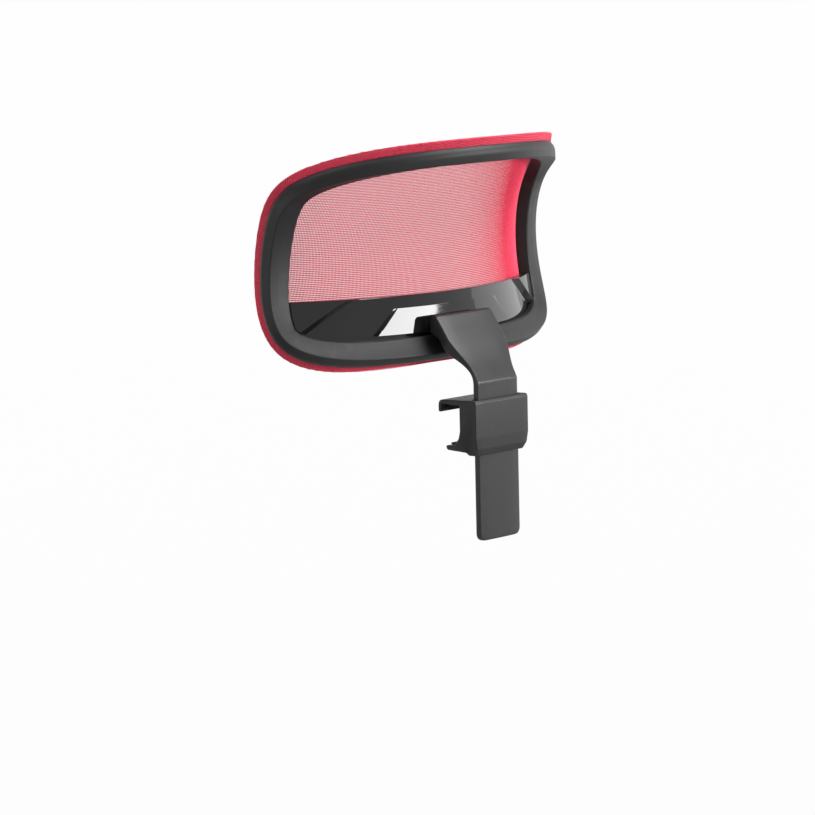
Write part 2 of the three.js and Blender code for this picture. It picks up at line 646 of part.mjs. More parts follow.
function armShell() {
  const body = alongX(armSideShape(), -HEAD.halfWidth, HEAD.halfWidth, 0.8)
    .intersect(alongY(armFrontShape(0), ARM_FRONT, ARM_REAR, 0.8));
  const rearSkin = alongX(stripShape(-6, 6 + SKIN / 2, BEND_Z + 1), -HEAD.halfWidth, HEAD.halfWidth);
  let shell = cut(body, armCavity());
  for (const side of [-1, 1]) {
    const ends = [side * LUG.inner, side * LUG.outer].sort((a, b) => a - b);
    const lug = alongX(eyeShape(HINGE.y + 14), ends[0], ends[1]).intersect(body);
    shell = join(shell, lug);
  }
  for (const [x, z] of COVER_SCREWS) {
    const boss = cut(rod([x, frontAt(z) - 4, z], [x, rearAt(z), z], 3, 12), rearSkin);
    shell = join(shell, cut(boss, coverBand(-20, COVER.thickness + 2 * GAP, 30, COVER.high + 4)));
  }
  const pinEnd = LUG.outer + 0.5;
  const pinBore = rod([-pinEnd, HINGE.y, HINGE.z], [pinEnd, HINGE.y, HINGE.z], HINGE.pinRadius + 0.1, 24);
  shell = cut(shell, pinBore);
  for (const [x, z] of COVER_SCREWS) {
    const thread = rod([x, frontAt(z) - 4, z], [x, rearAt(z) - 2 * SKIN, z], COVER_HOLE.thread, 8);
    const head = rod([x, ARM_FRONT - 20, z], [x, frontAt(z) + 1 + GAP, z], COVER_HOLE.head, 10);
    shell = cut(shell, thread, head);
  }
  const pocket = alongX(stripShape(SKIN + 0.2, 20, TONGUE.bottomZ + 12),
    -CORE.halfWidth - GAP, CORE.halfWidth + GAP);
  shell = cut(shell, pocket.intersect(box(-40, 40, -60, 40, TONGUE.bottomZ, NECK_CAVITY_LOW + 1)));
  shell = cut(shell, rod([0, 0, STOP.z], [0, TONGUE_FRONT + 3.6, STOP.z], COVER_HOLE.thread, 12));
  return toGeometry(shell);
}

// where the arm's side view is crossed at a height
function crossingsAt(z) {
  const points = armSideShape().getPoints(10).map((p) => [p.x, p.y]);
  const crossings = [];
  for (let i = 0; i + 1 < points.length; i += 1) {
    const [y0, z0] = points[i];
    const [y1, z1] = points[i + 1];
    if ((z0 - z) * (z1 - z) <= 0 && z0 !== z1) crossings.push(y0 + (y1 - y0) * (z - z0) / (z1 - z0));
  }
  return crossings;
}

const frontAt = (z) => Math.min(...crossingsAt(z));
const rearAt = (z) => Math.max(...crossingsAt(z));

function armCore() {
  const strip = alongX(stripShape(SKIN + 0.4, CORE.thickness, TONGUE.bottomZ + 13),
    -CORE.halfWidth, CORE.halfWidth);
  return toGeometry(cut(strip, box(-40, 40, -60, 40, HINGE.z - HINGE.eyeRadius - 2, 100)));
}

// the band between two depths behind the neck's front face
function coverBand(near, far, low, high) {
  const steps = Math.round((high - low) / 1.5);
  const outer = [];
  const inner = [];
  for (let i = 0; i <= steps; i += 1) {
    const z = low + (high - low) * i / steps;
    outer.push([frontAt(z) + near, z]);
    inner.push([frontAt(z) + far, z]);
  }
  return alongX(outlineShape([...outer, ...inner.reverse()]), -HEAD.halfWidth, HEAD.halfWidth);
}

function armFrontCover() {
  const band = coverBand(0.2, COVER.thickness + 0.2, COVER.low, COVER.high)
    .intersect(alongY(armFrontShape(-SKIN - GAP), ARM_FRONT - 20, ARM_REAR));
  const holes = COVER_SCREWS.flatMap(([x, z]) => [
    rod([x, -40, z], [x, 30, z], COVER_HOLE.through, 12),
    rod([x, -40, z], [x, frontAt(z) + 1, z], COVER_HOLE.head, 12),
  ]);
  return toGeometry(cut(band, ...holes));
}

const STOP = { z: TONGUE.bottomZ + 6.5, halfWidth: 9, halfHeight: 4, depth: 2.6 };

function tongueStop() {
  const block = alongY(roundedRectangle(0, STOP.z, STOP.halfWidth, STOP.halfHeight, 2),
    TONGUE_FRONT - GAP - STOP.depth, TONGUE_FRONT - GAP);
  const through = rod([0, 0, STOP.z], [0, 30, STOP.z], COVER_HOLE.through, 12);
  const head = rod([0, 0, STOP.z], [0, TONGUE_FRONT - GAP - STOP.depth + 1.4, STOP.z], COVER_HOLE.head, 12);
  return toGeometry(cut(block, through, head));
}

// ---------------------------------------------------------------- clamp pieces
function clampSideShape() {
  const shape = new THREE.Shape();
  const c = CLAMP;
  shape.moveTo(c.lipFrontY + 1, c.lipUnderZ);
  shape.lineTo(SLEEVE.frontY - 4, c.lipUnderZ - 1);
  shape.lineTo(SLEEVE.frontY - 2.6, c.bottomZ);
  shape.lineTo(SLEEVE.rearY + 0.9, c.bottomZ);
  shape.quadraticCurveTo(c.rearY - 0.4, c.bottomZ + 6, c.rearY, c.bottomZ + 15);
  shape.lineTo(c.rearY, c.topZ - 3);
  shape.quadraticCurveTo(c.rearY, c.topZ, c.rearY - 3, c.topZ);
  shape.lineTo(c.noseY + 5, c.topZ - 0.8);
  shape.quadraticCurveTo(c.noseY, c.topZ - 1, c.noseY, c.topZ - 6);
  shape.lineTo(c.noseY, c.noseBottomZ + 1);
  shape.quadraticCurveTo(c.noseY + 0.2, c.noseBottomZ, c.noseY + 1.4, c.noseBottomZ);
  shape.lineTo(c.noseInnerY, c.noseBottomZ);
  shape.lineTo(c.noseInnerY, c.flangeUnderZ);
  shape.lineTo(c.wallY, c.flangeUnderZ);
  shape.lineTo(c.wallY, c.slantTopZ);
  shape.quadraticCurveTo(c.wallY - 1, c.slantTopZ - 7, c.slantFootY, c.lipTopZ + 1.4);
  shape.quadraticCurveTo(c.slantFootY - 1, c.lipTopZ, c.slantFootY - 2.4, c.lipTopZ);
  shape.lineTo(c.lipFrontY, c.lipTopZ);
  shape.lineTo(c.lipFrontY, c.lipUnderZ + 1.2);
  return shape;
}

// front view of the clamp: parallel sides that draw in towards the foot
function clampFrontShape() {
  const shape = new THREE.Shape();
  const w = CLAMP.halfWidth;
  const foot = SLEEVE.halfWidth + 1.4;
  const straight = CLAMP.bottomZ + 14;
  shape.moveTo(-foot, CLAMP.bottomZ - 1);
  shape.lineTo(foot, CLAMP.bottomZ - 1);
  shape.quadraticCurveTo(w, CLAMP.bottomZ + 5, w, straight);
  shape.lineTo(w, CLAMP.topZ + 2);
  shape.lineTo(-w, CLAMP.topZ + 2);
  shape.lineTo(-w, straight);
  shape.quadraticCurveTo(-w, CLAMP.bottomZ + 5, -foot, CLAMP.bottomZ - 1);
  return shape;
}

const PLATE = { low: -17.5, high: -6, halfWidth: 24, thickness: 2, front: RAIL.halfThickness };
const INSERT = { x: 15, z: -11.5, radius: 4.2, screwRadius: 3 };
const SPRING = { z: -24, halfLength: 11, halfWidth: 9, pocket: 1.8 };

function clampHousing() {
  const c = CLAMP;
  const body = alongX(clampSideShape(), -c.halfWidth, c.halfWidth, 0.9)
    .intersect(alongY(clampFrontShape(), c.noseY - 2, c.rearY + 2))
    .intersect(alongZ(roundedRectangle(0, (c.noseY + c.rearY) / 2, c.halfWidth,
      (c.rearY - c.noseY) / 2, 3.2), c.bottomZ - 2, c.topZ + 2));
  const sleeve = box(-SLEEVE.halfWidth, SLEEVE.halfWidth, SLEEVE.frontY, SLEEVE.rearY,
    c.bottomZ - 5, c.topZ + 5);
  const plateBed = box(-PLATE.halfWidth - GAP, PLATE.halfWidth + GAP, PLATE.front - 1,
    PLATE.front + PLATE.thickness + GAP, PLATE.low - GAP, PLATE.high + GAP);
  const springBed = box(-SPRING.halfWidth - GAP, SPRING.halfWidth + GAP, SLEEVE.frontY - SPRING.pocket,
    SLEEVE.frontY + 1, SPRING.z - SPRING.halfLength - GAP, SPRING.z + SPRING.halfLength + GAP);
  const bores = [-1, 1].map((side) => rod([side * INSERT.x, PLATE.front, INSERT.z],
    [side * INSERT.x, SLEEVE.frontY + 1, INSERT.z], INSERT.radius + 0.05 + GAP, 20));
  return toGeometry(cut(body, sleeve, plateBed, springBed, ...bores));
}

const PAD_HALF_WIDTH = 26;

function railTopPad() {
  return toGeometry(alongZ(roundedRectangle(0, 0, PAD_HALF_WIDTH, 6.6, 1.5), 0, CLAMP.flangeUnderZ - GAP));
}

function railNosePad() {
  return toGeometry(alongY(roundedRectangle(0, -1.7, PAD_HALF_WIDTH, 1.5, 0.6),
    CLAMP.noseInnerY + GAP, -RAIL.halfThickness));
}

function railLipPad() {
  return toGeometry(alongZ(roundedRectangle(0, -3.4, PAD_HALF_WIDTH, 2.6, 1.2),
    CLAMP.lipTopZ + GAP, RAIL.bottom));
}

function pressurePlate() {
  const plate = alongY(roundedRectangle(0, (PLATE.low + PLATE.high) / 2, PLATE.halfWidth,
    (PLATE.high - PLATE.low) / 2, 1.5), PLATE.front, PLATE.front + PLATE.thickness);
  return toGeometry(plate);
}

function pressureScrew(side) {
  const x = side * INSERT.x;
  const start = PLATE.front + PLATE.thickness + GAP;
  const end = SLEEVE.frontY - 0.6;
  const body = rod([x, start, INSERT.z], [x, end, INSERT.z], INSERT.screwRadius - 0.15, 18);
  const socket = rod([x, end - 2.4, INSERT.z], [x, end + 1, INSERT.z], 1.5, 6);
  return toGeometry(cut(body, socket));
}

function screwInsert(side) {
  const x = side * INSERT.x;
  const start = PLATE.front + PLATE.thickness + 2 * GAP;
  const end = SLEEVE.frontY - 0.5;
  const body = rod([x, start, INSERT.z], [x, end, INSERT.z], INSERT.radius, 20);
  const bore = rod([x, start - 1, INSERT.z], [x, end + 1, INSERT.z], INSERT.screwRadius + 0.1, 18);
  return toGeometry(cut(body, bore));
}

// a low-friction strip beside one edge of the tongue
function glideLiner(side) {
  const ends = [side * (TONGUE.halfWidth + GAP), side * (SLEEVE.halfWidth - GAP)].sort((a, b) => a - b);
  return toGeometry(box(ends[0], ends[1], SLEEVE.frontY + GAP, SLEEVE.rearY - GAP,
    CLAMP.bottomZ + 2, CLAMP.topZ - 2));
}

// a bowed leaf that presses on the tongue's steel strip
function brakeSpring() {
  const steps = 14;
  const thickness = 0.5;
  const floorY = SLEEVE.frontY - SPRING.pocket + GAP;
  const crest = TONGUE_FRONT - 0.15 - thickness - floorY;
  const line = Array.from({ length: steps + 1 }, (_, i) => {
    const f = i / steps;
    return [floorY + crest * Math.sin(Math.PI * f) ** 2, SPRING.z + SPRING.halfLength * (2 * f - 1)];
  });
  const far = line.map(([y, z]) => [y + thickness, z]).reverse();
  return toGeometry(alongX(outlineShape([...line, ...far]), -SPRING.halfWidth, SPRING.halfWidth));
}

// ---------------------------------------------------------------- assembly
addNode('clamp_housing', clampHousing(), BLACK_PLASTIC);
addNode('rail_top_pad', railTopPad(), RUBBER);
addNode('rail_nose_pad', railNosePad(), RUBBER);
addNode('rail_lip_pad', railLipPad(), RUBBER);
addNode('pressure_plate', pressurePlate(), STEEL);
addNode('brake_spring', brakeSpring(), STEEL);
for (const [word, side] of [['left', 1], ['right', -1]]) {
  addNode(`pressure_screw_${word}`, pressureScrew(side), STEEL);
  addNode(`screw_insert_${word}`, screwInsert(side), BRASS);
  addNode(`glide_liner_${word}`, glideLiner(side), WHITE_ACETAL);
  addNode(`friction_washer_${word}`, frictionWasher(side), WHITE_ACETAL);
}

addNode('arm_shell', armShell(), BLACK_PLASTIC);
addNode('arm_core', armCore(), STEEL);
addNode('arm_front_cover', armFrontCover(), BLACK_PLASTIC);
addNode('tongue_stop', tongueStop(), BLACK_PLASTIC);
addNode('hinge_pin', hingePin(), STEEL);
addNode('hinge_nut', hingeNut(), STEEL);

// a screw whose axis is +Y, with the underside of its head at y
function screwAlongY(x, y, z, size) {
  const geometry = toGeometry(screwSolid(size));
  geometry.rotateX(-Math.PI / 2);
  geometry.translate(x, y, z);
  return geometry;
}

COVER_SCREWS.forEach(([x, z], i) => {
  addNode(`cover_screw_${i + 1}`, screwAlongY(x, frontAt(z) + 1 - 0.05, z, COVER_SCREW), STEEL);
});
addNode('stop_screw', screwAlongY(0, TONGUE_FRONT - GAP - STOP.depth + 1.35, STOP.z, STOP_SCREW), STEEL);

addNode('pivot_bracket', pivotBracket(), STEEL);
BRACKET_SCREW_PLACES.forEach(([x, z], i) => {
  const underHead = BRACKET.baseFront - BRACKET_SCREW.seat;
  addNode(`bracket_screw_${i + 1}`, screwAlongY(x, underHead, z, BRACKET_SCREW), STEEL);
});
addNode('foot_panel', footPanel(), GLOSS_PLASTIC);
addNode('rear_frame', rearFrame(), BLACK_PLASTIC);
addNode('carrier_frame', carrierFrame(), BLACK_PLASTIC);
addNode('mesh_retainer', meshRetainer(), RUBBER);
addNode('mesh_cover', meshCover(), RED_MESH);

[['frame_screw', FRAME_SCREW_PLACES], ['panel_screw', PANEL_SCREW_PLACES]].forEach(([name, places]) => {
  places.forEach(([s, t], i) => {
    const screw = onSaddle(screwSolid(SADDLE_SCREW), s, t, SADDLE_SCREW.seat);
    addNode(`${name}_${i + 1}`, toGeometry(screw), STEEL);
  });
});

export default headrest;
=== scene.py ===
"""Looks of an add-on mesh headrest for an office chair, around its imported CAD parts."""
import math

import bmesh
import bpy
import numpy as np
from mathutils import Matrix, Vector


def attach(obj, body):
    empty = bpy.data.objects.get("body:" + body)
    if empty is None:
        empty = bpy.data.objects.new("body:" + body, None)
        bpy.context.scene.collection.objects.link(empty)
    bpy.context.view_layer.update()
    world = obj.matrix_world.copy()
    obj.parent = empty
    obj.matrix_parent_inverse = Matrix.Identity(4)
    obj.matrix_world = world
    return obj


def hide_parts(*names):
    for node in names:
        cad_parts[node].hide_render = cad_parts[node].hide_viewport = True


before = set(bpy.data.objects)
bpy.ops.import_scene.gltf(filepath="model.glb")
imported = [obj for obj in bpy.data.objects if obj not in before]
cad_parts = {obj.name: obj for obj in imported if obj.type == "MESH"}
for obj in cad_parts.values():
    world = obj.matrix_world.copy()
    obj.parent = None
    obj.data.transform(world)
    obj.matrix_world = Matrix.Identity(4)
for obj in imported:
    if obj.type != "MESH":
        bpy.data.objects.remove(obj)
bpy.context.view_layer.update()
MM = 0.001

# ------------------------------------------------------------------ the saddle, as in the CAD source (mm)
CENTRE_Y, CENTRE_Z = -24.0, 127.9
ARC_RADIUS = 226.8                # the curve from side to side
ROCKER_RADIUS = 200.2             # the curve up the face
LEAN, CURL = 0.1815, 0.41         # the lean at the middle, and how much is added away from there
ROCKER_FOOT, ROCKER_TOP, ROCKER_STEP = -130, 140, 0.25
WING_SPAN, WING_BOW, WING_TWIST = 175.4, 0.00119, -0.177
HALF_WIDTH, UPPER, LOWER = 175.4, 109.4, 96.2
UPPER_ROUNDING, LOWER_ROUNDING = (3.65, 5.38), (2.93, 4.29)
UPPER_BOW, LOWER_BOW = 0.21, -0.16
OUTLINE_TAPER, OUTLINE_FLARE = 0.000575, 0.04
OUTLINE_SAMPLES = 2880
FOOT_NARROWING = 0.11
RING_STATIONS = 448               # eight for each station of the CAD ring


def lean_at(t):
    return LEAN + t / ROCKER_RADIUS + CURL * (t / 100) ** 2


def rocker_table():
    """The face's middle line: t up it, and its y and z from the middle of the headrest."""
    t = np.arange(ROCKER_FOOT, ROCKER_TOP + ROCKER_STEP, ROCKER_STEP)
    middle = (t[1:] + t[:-1]) / 2
    y = np.concatenate([[0], np.cumsum(np.sin(lean_at(middle)) * ROCKER_STEP)])
    z = np.concatenate([[0], np.cumsum(np.cos(lean_at(middle)) * ROCKER_STEP)])
    start = np.argmin(np.abs(t))
    return t, y - y[start], z - z[start]


ROCK_T, ROCK_Y, ROCK_Z = rocker_table()


def saddle_normal(s, t):
    phi = s / ARC_RADIUS
    wing = (s / WING_SPAN) ** 2
    psi = lean_at(t) + np.arctan(wing * (2 * WING_BOW * t + WING_TWIST))
    return np.stack([np.sin(phi) * np.cos(psi), np.cos(phi) * np.cos(psi), -np.sin(psi)], axis=-1)


def saddle(s, t, h):
    """Points of the saddle: s along the side-to-side arc, t up it, h rearwards, all in mm."""
    s, t, h = np.broadcast_arrays(*(np.asarray(v, float) for v in (s, t, h)))
    phi = s / ARC_RADIUS
    wing = (s / WING_SPAN) ** 2
    y = CENTRE_Y - ARC_RADIUS * (1 - np.cos(phi)) + np.interp(t, ROCK_T, ROCK_Y)
    y = y + wing * (WING_BOW * t * t + WING_TWIST * t)
    z = CENTRE_Z + np.interp(t, ROCK_T, ROCK_Z)
    base = np.stack([ARC_RADIUS * np.sin(phi), y, z], axis=-1)
    return base + saddle_normal(s, t) * h[..., None]


def outline(angle):
    """The flat (s, t) place on the headrest's outline at an angle round its middle."""
    c, d = math.cos(angle), math.sin(angle)
    upper = d >= 0
    round_x, round_y = UPPER_ROUNDING if upper else LOWER_ROUNDING
    height, bow = (UPPER, UPPER_BOW) if upper else (LOWER, LOWER_BOW)
    s = HALF_WIDTH * math.copysign(abs(c) ** (2 / round_x), c)
    level = math.copysign(abs(d) ** (2 / round_y), d)
    t = height * level * (1 - bow * (s / HALF_WIDTH) ** 2)
    return s * (1 - OUTLINE_TAPER * t) * (1 + OUTLINE_FLARE * level * level), t


def walk_along(points):
    """The distance walked along a line at each of its points."""
    return np.concatenate([[0], np.cumsum(np.linalg.norm(np.diff(points, axis=0), axis=1))])


def even_rim(count):
    """Places on the outline at even distances along it."""
    angles = [2 * math.pi * i / OUTLINE_SAMPLES for i in range(OUTLINE_SAMPLES + 1)]
    fine = np.array([outline(angle) for angle in angles])
    walked = walk_along(fine)
    places = np.linspace(0, walked[-1], count, endpoint=False)
    return np.stack([np.interp(places, walked, fine[:, i]) for i in (0, 1)], axis=1)


def inward_of(rim):
    """The flat unit direction into the ring at each place on its rim."""
    along = np.roll(rim, -1, axis=0) - np.roll(rim, 1, axis=0)
    along /= np.linalg.norm(along, axis=1)[:, None]
    return np.stack([-along[:, 1], along[:, 0]], axis=1)


RIM = even_rim(RING_STATIONS)
INWARD = inward_of(RIM)


def narrowing(inward_t):
    """The ring's foot is a little narrower than its sides."""
    return 1 - FOOT_NARROWING * np.maximum(0, inward_t) ** 2


def nearest_stations(points, chunk=4000):
    """The rim station nearest to each flat point, worked out a chunk at a time to save memory."""
    near = np.empty(len(points), int)
    for i in range(0, len(points), chunk):
        part = points[i:i + chunk]
        near[i:i + chunk] = ((part[:, None, :] - RIM[None]) ** 2).sum(-1).argmin(1)
    return near


def rim_place(s, t):
    """For flat points: the nearest place on the rim, the inward direction there, how far inside they lie."""
    points = np.stack([np.ravel(s), np.ravel(t)], axis=1)
    near = nearest_stations(points)
    best = None
    for step in (-1, 0):
        a, b = (near + step) % RING_STATIONS, (near + step + 1) % RING_STATIONS
        edge = RIM[b] - RIM[a]
        share = np.clip(((points - RIM[a]) * edge).sum(1) / (edge ** 2).sum(1), 0, 1)
        place = RIM[a] + edge * share[:, None]
        inward = INWARD[a] * (1 - share[:, None]) + INWARD[b] * share[:, None]
        inward /= np.linalg.norm(inward, axis=1)[:, None]
        away = np.linalg.norm(points - place, axis=1)
        inside = np.copysign(away, ((points - place) * inward).sum(1))
        if best is None:
            best = [place, inward, inside, away]
        else:
            closer = away < best[3]
            for k, new in enumerate((place, inward, inside, away)):
                best[k][closer] = new[closer]
    return best[0], best[1], best[2]


# ------------------------------------------------------------------ mesh helpers
ROUND = 24                        # sides of the round bosses and screw holes
CORNER_SHARE = 0.48               # the most of a side that one rounded corner takes up


def fillet(corners, steps=5):
    """A closed outline from (x, y, radius) corners, with this many points on each rounded one."""
    points = [np.array(corner[:2], float) for corner in corners]
    out = []
    for i, (p, corner) in enumerate(zip(points, corners)):
        radius = corner[2]
        if radius == 0:
            out.append(p)
            continue
        a, b = points[i - 1] - p, points[(i + 1) % len(points)] - p
        la, lb = np.linalg.norm(a), np.linalg.norm(b)
        a, b = a / la, b / lb
        half = math.acos(max(-1, min(1, float(a @ b)))) / 2
        reach = min(radius / max(math.tan(half), 1e-6), CORNER_SHARE * la, CORNER_SHARE * lb)
        start, end = p + a * reach, p + b * reach
        for k in range(steps):
            f = k / (steps - 1)
            out.append((1 - f) ** 2 * start + 2 * f * (1 - f) * p + f * f * end)
    return np.array(out)


def make(name, points, faces, body, slot, material, stands_for=(), sharp=38):
    """A mesh piece from points in mm, facing outwards, riding on a body."""
    mesh = bpy.data.meshes.new(name)
    mesh.from_pydata((np.asarray(points, float) * MM).tolist(), [], faces)
    work = bmesh.new()
    work.from_mesh(mesh)
    caps = [face for face in work.faces if len(face.verts) > 4]
    bmesh.ops.triangulate(work, faces=caps, ngon_method="EAR_CLIP")
    bmesh.ops.recalc_face_normals(work, faces=work.faces)
    work.to_mesh(mesh)
    work.free()
    piece = bpy.data.objects.new(name, mesh)
    bpy.context.scene.collection.objects.link(piece)
    dress(piece, material, sharp)
    if body:
        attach(piece, body)
    if stands_for:
        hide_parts(*stands_for)
    return piece


def dress(piece, material, sharp=38):
    """Gives a piece its material and smooth shading, with edges over `sharp` degrees kept sharp."""
    mesh = piece.data
    mesh.materials.clear()
    mesh.materials.append(material)
    mesh.polygons.foreach_set("use_smooth", [True] * len(mesh.polygons))
    mesh.set_sharp_from_angle(angle=math.radians(sharp))


def grid_faces(rows, columns, closed_rows=False, closed_columns=False):
    faces = []
    for i in range(rows if closed_rows else rows - 1):
        for j in range(columns if closed_columns else columns - 1):
            i2, j2 = (i + 1) % rows, (j + 1) % columns
            faces.append((i * columns + j, i2 * columns + j, i2 * columns + j2, i * columns + j2))
    return faces


def loft(sections):
    """Points and faces of closed sections joined in turn, with both ends closed."""
    count = len(sections[0])
    points = np.concatenate(sections)
    faces = grid_faces(len(sections), count, closed_columns=True)
    faces.append(tuple(range(count)))
    faces.append(tuple(reversed(range(len(points) - count, len(points)))))
    return points, faces


def together(*shapes):
    """Points and faces of several shapes as one."""
    points, faces = [], []
    for shape_points, shape_faces in shapes:
        faces += [tuple(v + len(points) for v in f) for f in shape_faces]
        points += np.asarray(shape_points).tolist()
    return np.array(points), faces


def circle_round(along, upright, segments):
    """Points of a unit circle round a direction."""
    side = np.cross(along, upright)
    side /= np.linalg.norm(side)
    turns = np.linspace(0, 2 * math.pi, segments, endpoint=False)
    return np.outer(np.cos(turns), side) + np.outer(np.sin(turns), np.cross(along, side))


def cylinder(a, b, radius, segments):
    a, b = np.array(a, float), np.array(b, float)
    along = (b - a) / np.linalg.norm(b - a)
    circle = circle_round(along, [0, 0, 1] if abs(along[2]) < 0.9 else [1, 0, 0], segments)
    return loft([a + circle * radius, b + circle * radius])


def discard(piece):
    mesh = piece.data
    bpy.data.objects.remove(piece)
    bpy.data.meshes.remove(mesh)


def boolean(piece, cutter, operation="DIFFERENCE"):
    """Cuts a piece with another, or joins the two, and removes the other."""
    modifier = piece.modifiers.new("cut", "BOOLEAN")
    modifier.operation = operation
    modifier.solver = "EXACT"
    modifier.object = cutter
    bpy.context.view_layer.update()
    graph = bpy.context.evaluated_depsgraph_get()
    made = bpy.data.meshes.new_from_object(piece.evaluated_get(graph))
    piece.modifiers.remove(modifier)
    old = piece.data
    piece.data = made
    bpy.data.meshes.remove(old)
    discard(cutter)


def absorb(piece, other):
    """Adds another piece's mesh to a piece and removes the other."""
    work = bmesh.new()
    work.from_mesh(piece.data)
    work.from_mesh(other.data)
    work.to_mesh(piece.data)
    work.free()
    discard(other)


def tool(points, faces):
    """A shape that is used up by a cut, a union or a join."""
    return make("tool", points, faces, None, None, PLAIN)


def bore(piece, ends, radius, segments=20):
    """Cuts plain round holes, each from one point to another, in mm."""
    boolean(piece, tool(*together(*[cylinder(a, b, radius, segments) for a, b in ends])))


# ------------------------------------------------------------------ materials
def fill_ramp(ramp, stops):
    """Sets a colour ramp's stops, each a position and a colour."""
    while len(ramp.elements) < len(stops):
        ramp.elements.new(0.5)
    for element, (position, colour) in zip(ramp.elements, stops):
        element.position = position
        element.color = (*colour, 1)


class Nodes:
    """A short way to write a node material."""

    def __init__(self, name):
        self.material = bpy.data.materials.new(name)
        self.material.use_nodes = True
        self.tree = self.material.node_tree
        self.shader = self.tree.nodes["Principled BSDF"]
        self.place = self.tree.nodes.new("ShaderNodeTexCoord").outputs["Object"]

    def node(self, kind, **values):
        made = self.tree.nodes.new("ShaderNode" + kind)
        for key, value in values.items():
            setattr(made, key, value)
        return made

    def link(self, source, target):
        self.tree.links.new(source, target)

    def noise(self, scale, detail, roughness=0.5, stretch=None):
        made = self.node("TexNoise")
        made.inputs["Scale"].default_value = scale
        made.inputs["Detail"].default_value = detail
        made.inputs["Roughness"].default_value = roughness
        source = self.place
        if stretch:
            mapping = self.node("Mapping")
            mapping.inputs["Scale"].default_value = stretch
            self.link(source, mapping.inputs["Vector"])
            source = mapping.outputs["Vector"]
        self.link(source, made.inputs["Vector"])
        return made.outputs["Fac"]

    def ramp(self, source, stops):
        made = self.node("ValToRGB")
        fill_ramp(made.color_ramp, stops)
        self.link(source, made.inputs["Fac"])
        return made.outputs["Color"]

    def spread(self, source, low, high):
        made = self.node("MapRange")
        made.inputs["To Min"].default_value = low
        made.inputs["To Max"].default_value = high
        self.link(source, made.inputs["Value"])
        return made.outputs["Result"]

    def bump(self, height, strength, distance):
        made = self.node("Bump")
        made.inputs["Strength"].default_value = strength
        made.inputs["Distance"].default_value = distance
        self.link(height, made.inputs["Height"])
        return made.outputs["Normal"]

    def set(self, **values):
        for key, value in values.items():
            self.shader.inputs[key.replace("_", " ")].default_value = value

    def finish(self, colour, roughness, normal=None):
        for source, name in ((colour, "Base Color"), (roughness, "Roughness"), (normal, "Normal")):
            if source is not None:
                self.link(source, self.shader.inputs[name])
        return self.material


def grey(value, tint=1.0):
    return (value, value, value * tint)


def moulded(name, value, rough, shine=0.5):
    """Black moulded plastic with a fine spark-eroded grain, and a painted highlight that makes its sharp
    edges paler.
    """
    n = Nodes(name)
    n.set(IOR=1.5, Specular_IOR_Level=shine)
    cloud = n.noise(22, detail=4)
    grain = n.noise(2600, detail=2, roughness=0.6)
    tone = n.ramp(cloud, [(0.3, grey(value * 0.88, 1.06)), (0.7, grey(value * 1.12, 1.06))])
    # Painted highlight: sharp convex edges, found by their pointiness, get a colour one and a half times as
    # bright as the plastic.
    edges = n.node("NewGeometry").outputs["Pointiness"]
    painted_edge_highlight = n.ramp(edges, [(0.5, (0, 0, 0)), (0.56, (1, 1, 1))])
    mix = n.node("Mix", data_type="RGBA")
    mix.inputs["B"].default_value = (*grey(value * 1.5, 1.05), 1)
    n.link(painted_edge_highlight, mix.inputs["Factor"])
    n.link(tone, mix.inputs["A"])
    handled = n.spread(n.noise(140, detail=3), rough - 0.05, rough + 0.07)
    return n.finish(mix.outputs["Result"], handled, n.bump(grain, strength=0.35, distance=0.00006))


def glossy(name):
    """Polished black plastic: deep colour, faint waviness and hairline scratches in its roughness."""
    n = Nodes(name)
    n.set(IOR=1.55)
    tone = n.ramp(n.noise(9, detail=2), [(0.35, (0.0075, 0.0078, 0.0085)), (0.65, (0.0105, 0.0108, 0.0115))])
    scratches = n.noise(900, detail=2, stretch=(0.05, 1, 1))
    rough = n.ramp(scratches, [(0.55, grey(0.035)), (0.8, grey(0.085))])
    return n.finish(tone, rough, n.bump(n.noise(14, detail=2), strength=0.12, distance=0.0004))


def red_yarn(name, low, high):
    """Red polyester yarn: twisted filaments along its length and a soft sheen."""
    n = Nodes(name)
    n.set(Sheen_Weight=0.25, Sheen_Roughness=0.4, IOR=1.46)
    tone = n.ramp(n.noise(420, detail=4, roughness=0.6), [(0.32, low), (0.68, high)])
    coordinates = n.node("UVMap").outputs["UV"]
    twist = n.node("TexWave", wave_type="BANDS", bands_direction="DIAGONAL")
    twist.inputs["Scale"].default_value = 1500
    twist.inputs["Distortion"].default_value = 1.2
    n.link(coordinates, twist.inputs["Vector"])
    rough = n.spread(n.noise(900, detail=2), 0.5, 0.72)
    return n.finish(tone, rough, n.bump(twist.outputs["Fac"], strength=0.5, distance=0.00008))


def rubber(name):
    """Dull black rubber, slightly cloudy, with a fine pitted skin."""
    n = Nodes(name)
    tone = n.ramp(n.noise(60, detail=4), [(0.3, (0.012, 0.012, 0.013)), (0.7, (0.021, 0.021, 0.022))])
    rough = n.spread(n.noise(300, detail=3), 0.78, 0.92)
    return n.finish(tone, rough, n.bump(n.noise(1800, detail=2), strength=0.3, distance=0.0001))


def metal(name, low, high, rough, stretch):
    """Metal with fine tool lines, drawn out along the axes where the stretch is small."""
    n = Nodes(name)
    n.set(Metallic=1.0)
    tone = n.ramp(n.noise(240, detail=4, roughness=0.6, stretch=stretch), [(0.3, low), (0.7, high)])
    lines = n.noise(2200, detail=3, roughness=0.6, stretch=stretch)
    brushed = n.spread(lines, rough - 0.08, rough + 0.1)
    return n.finish(tone, brushed, n.bump(lines, strength=0.25, distance=0.00004))


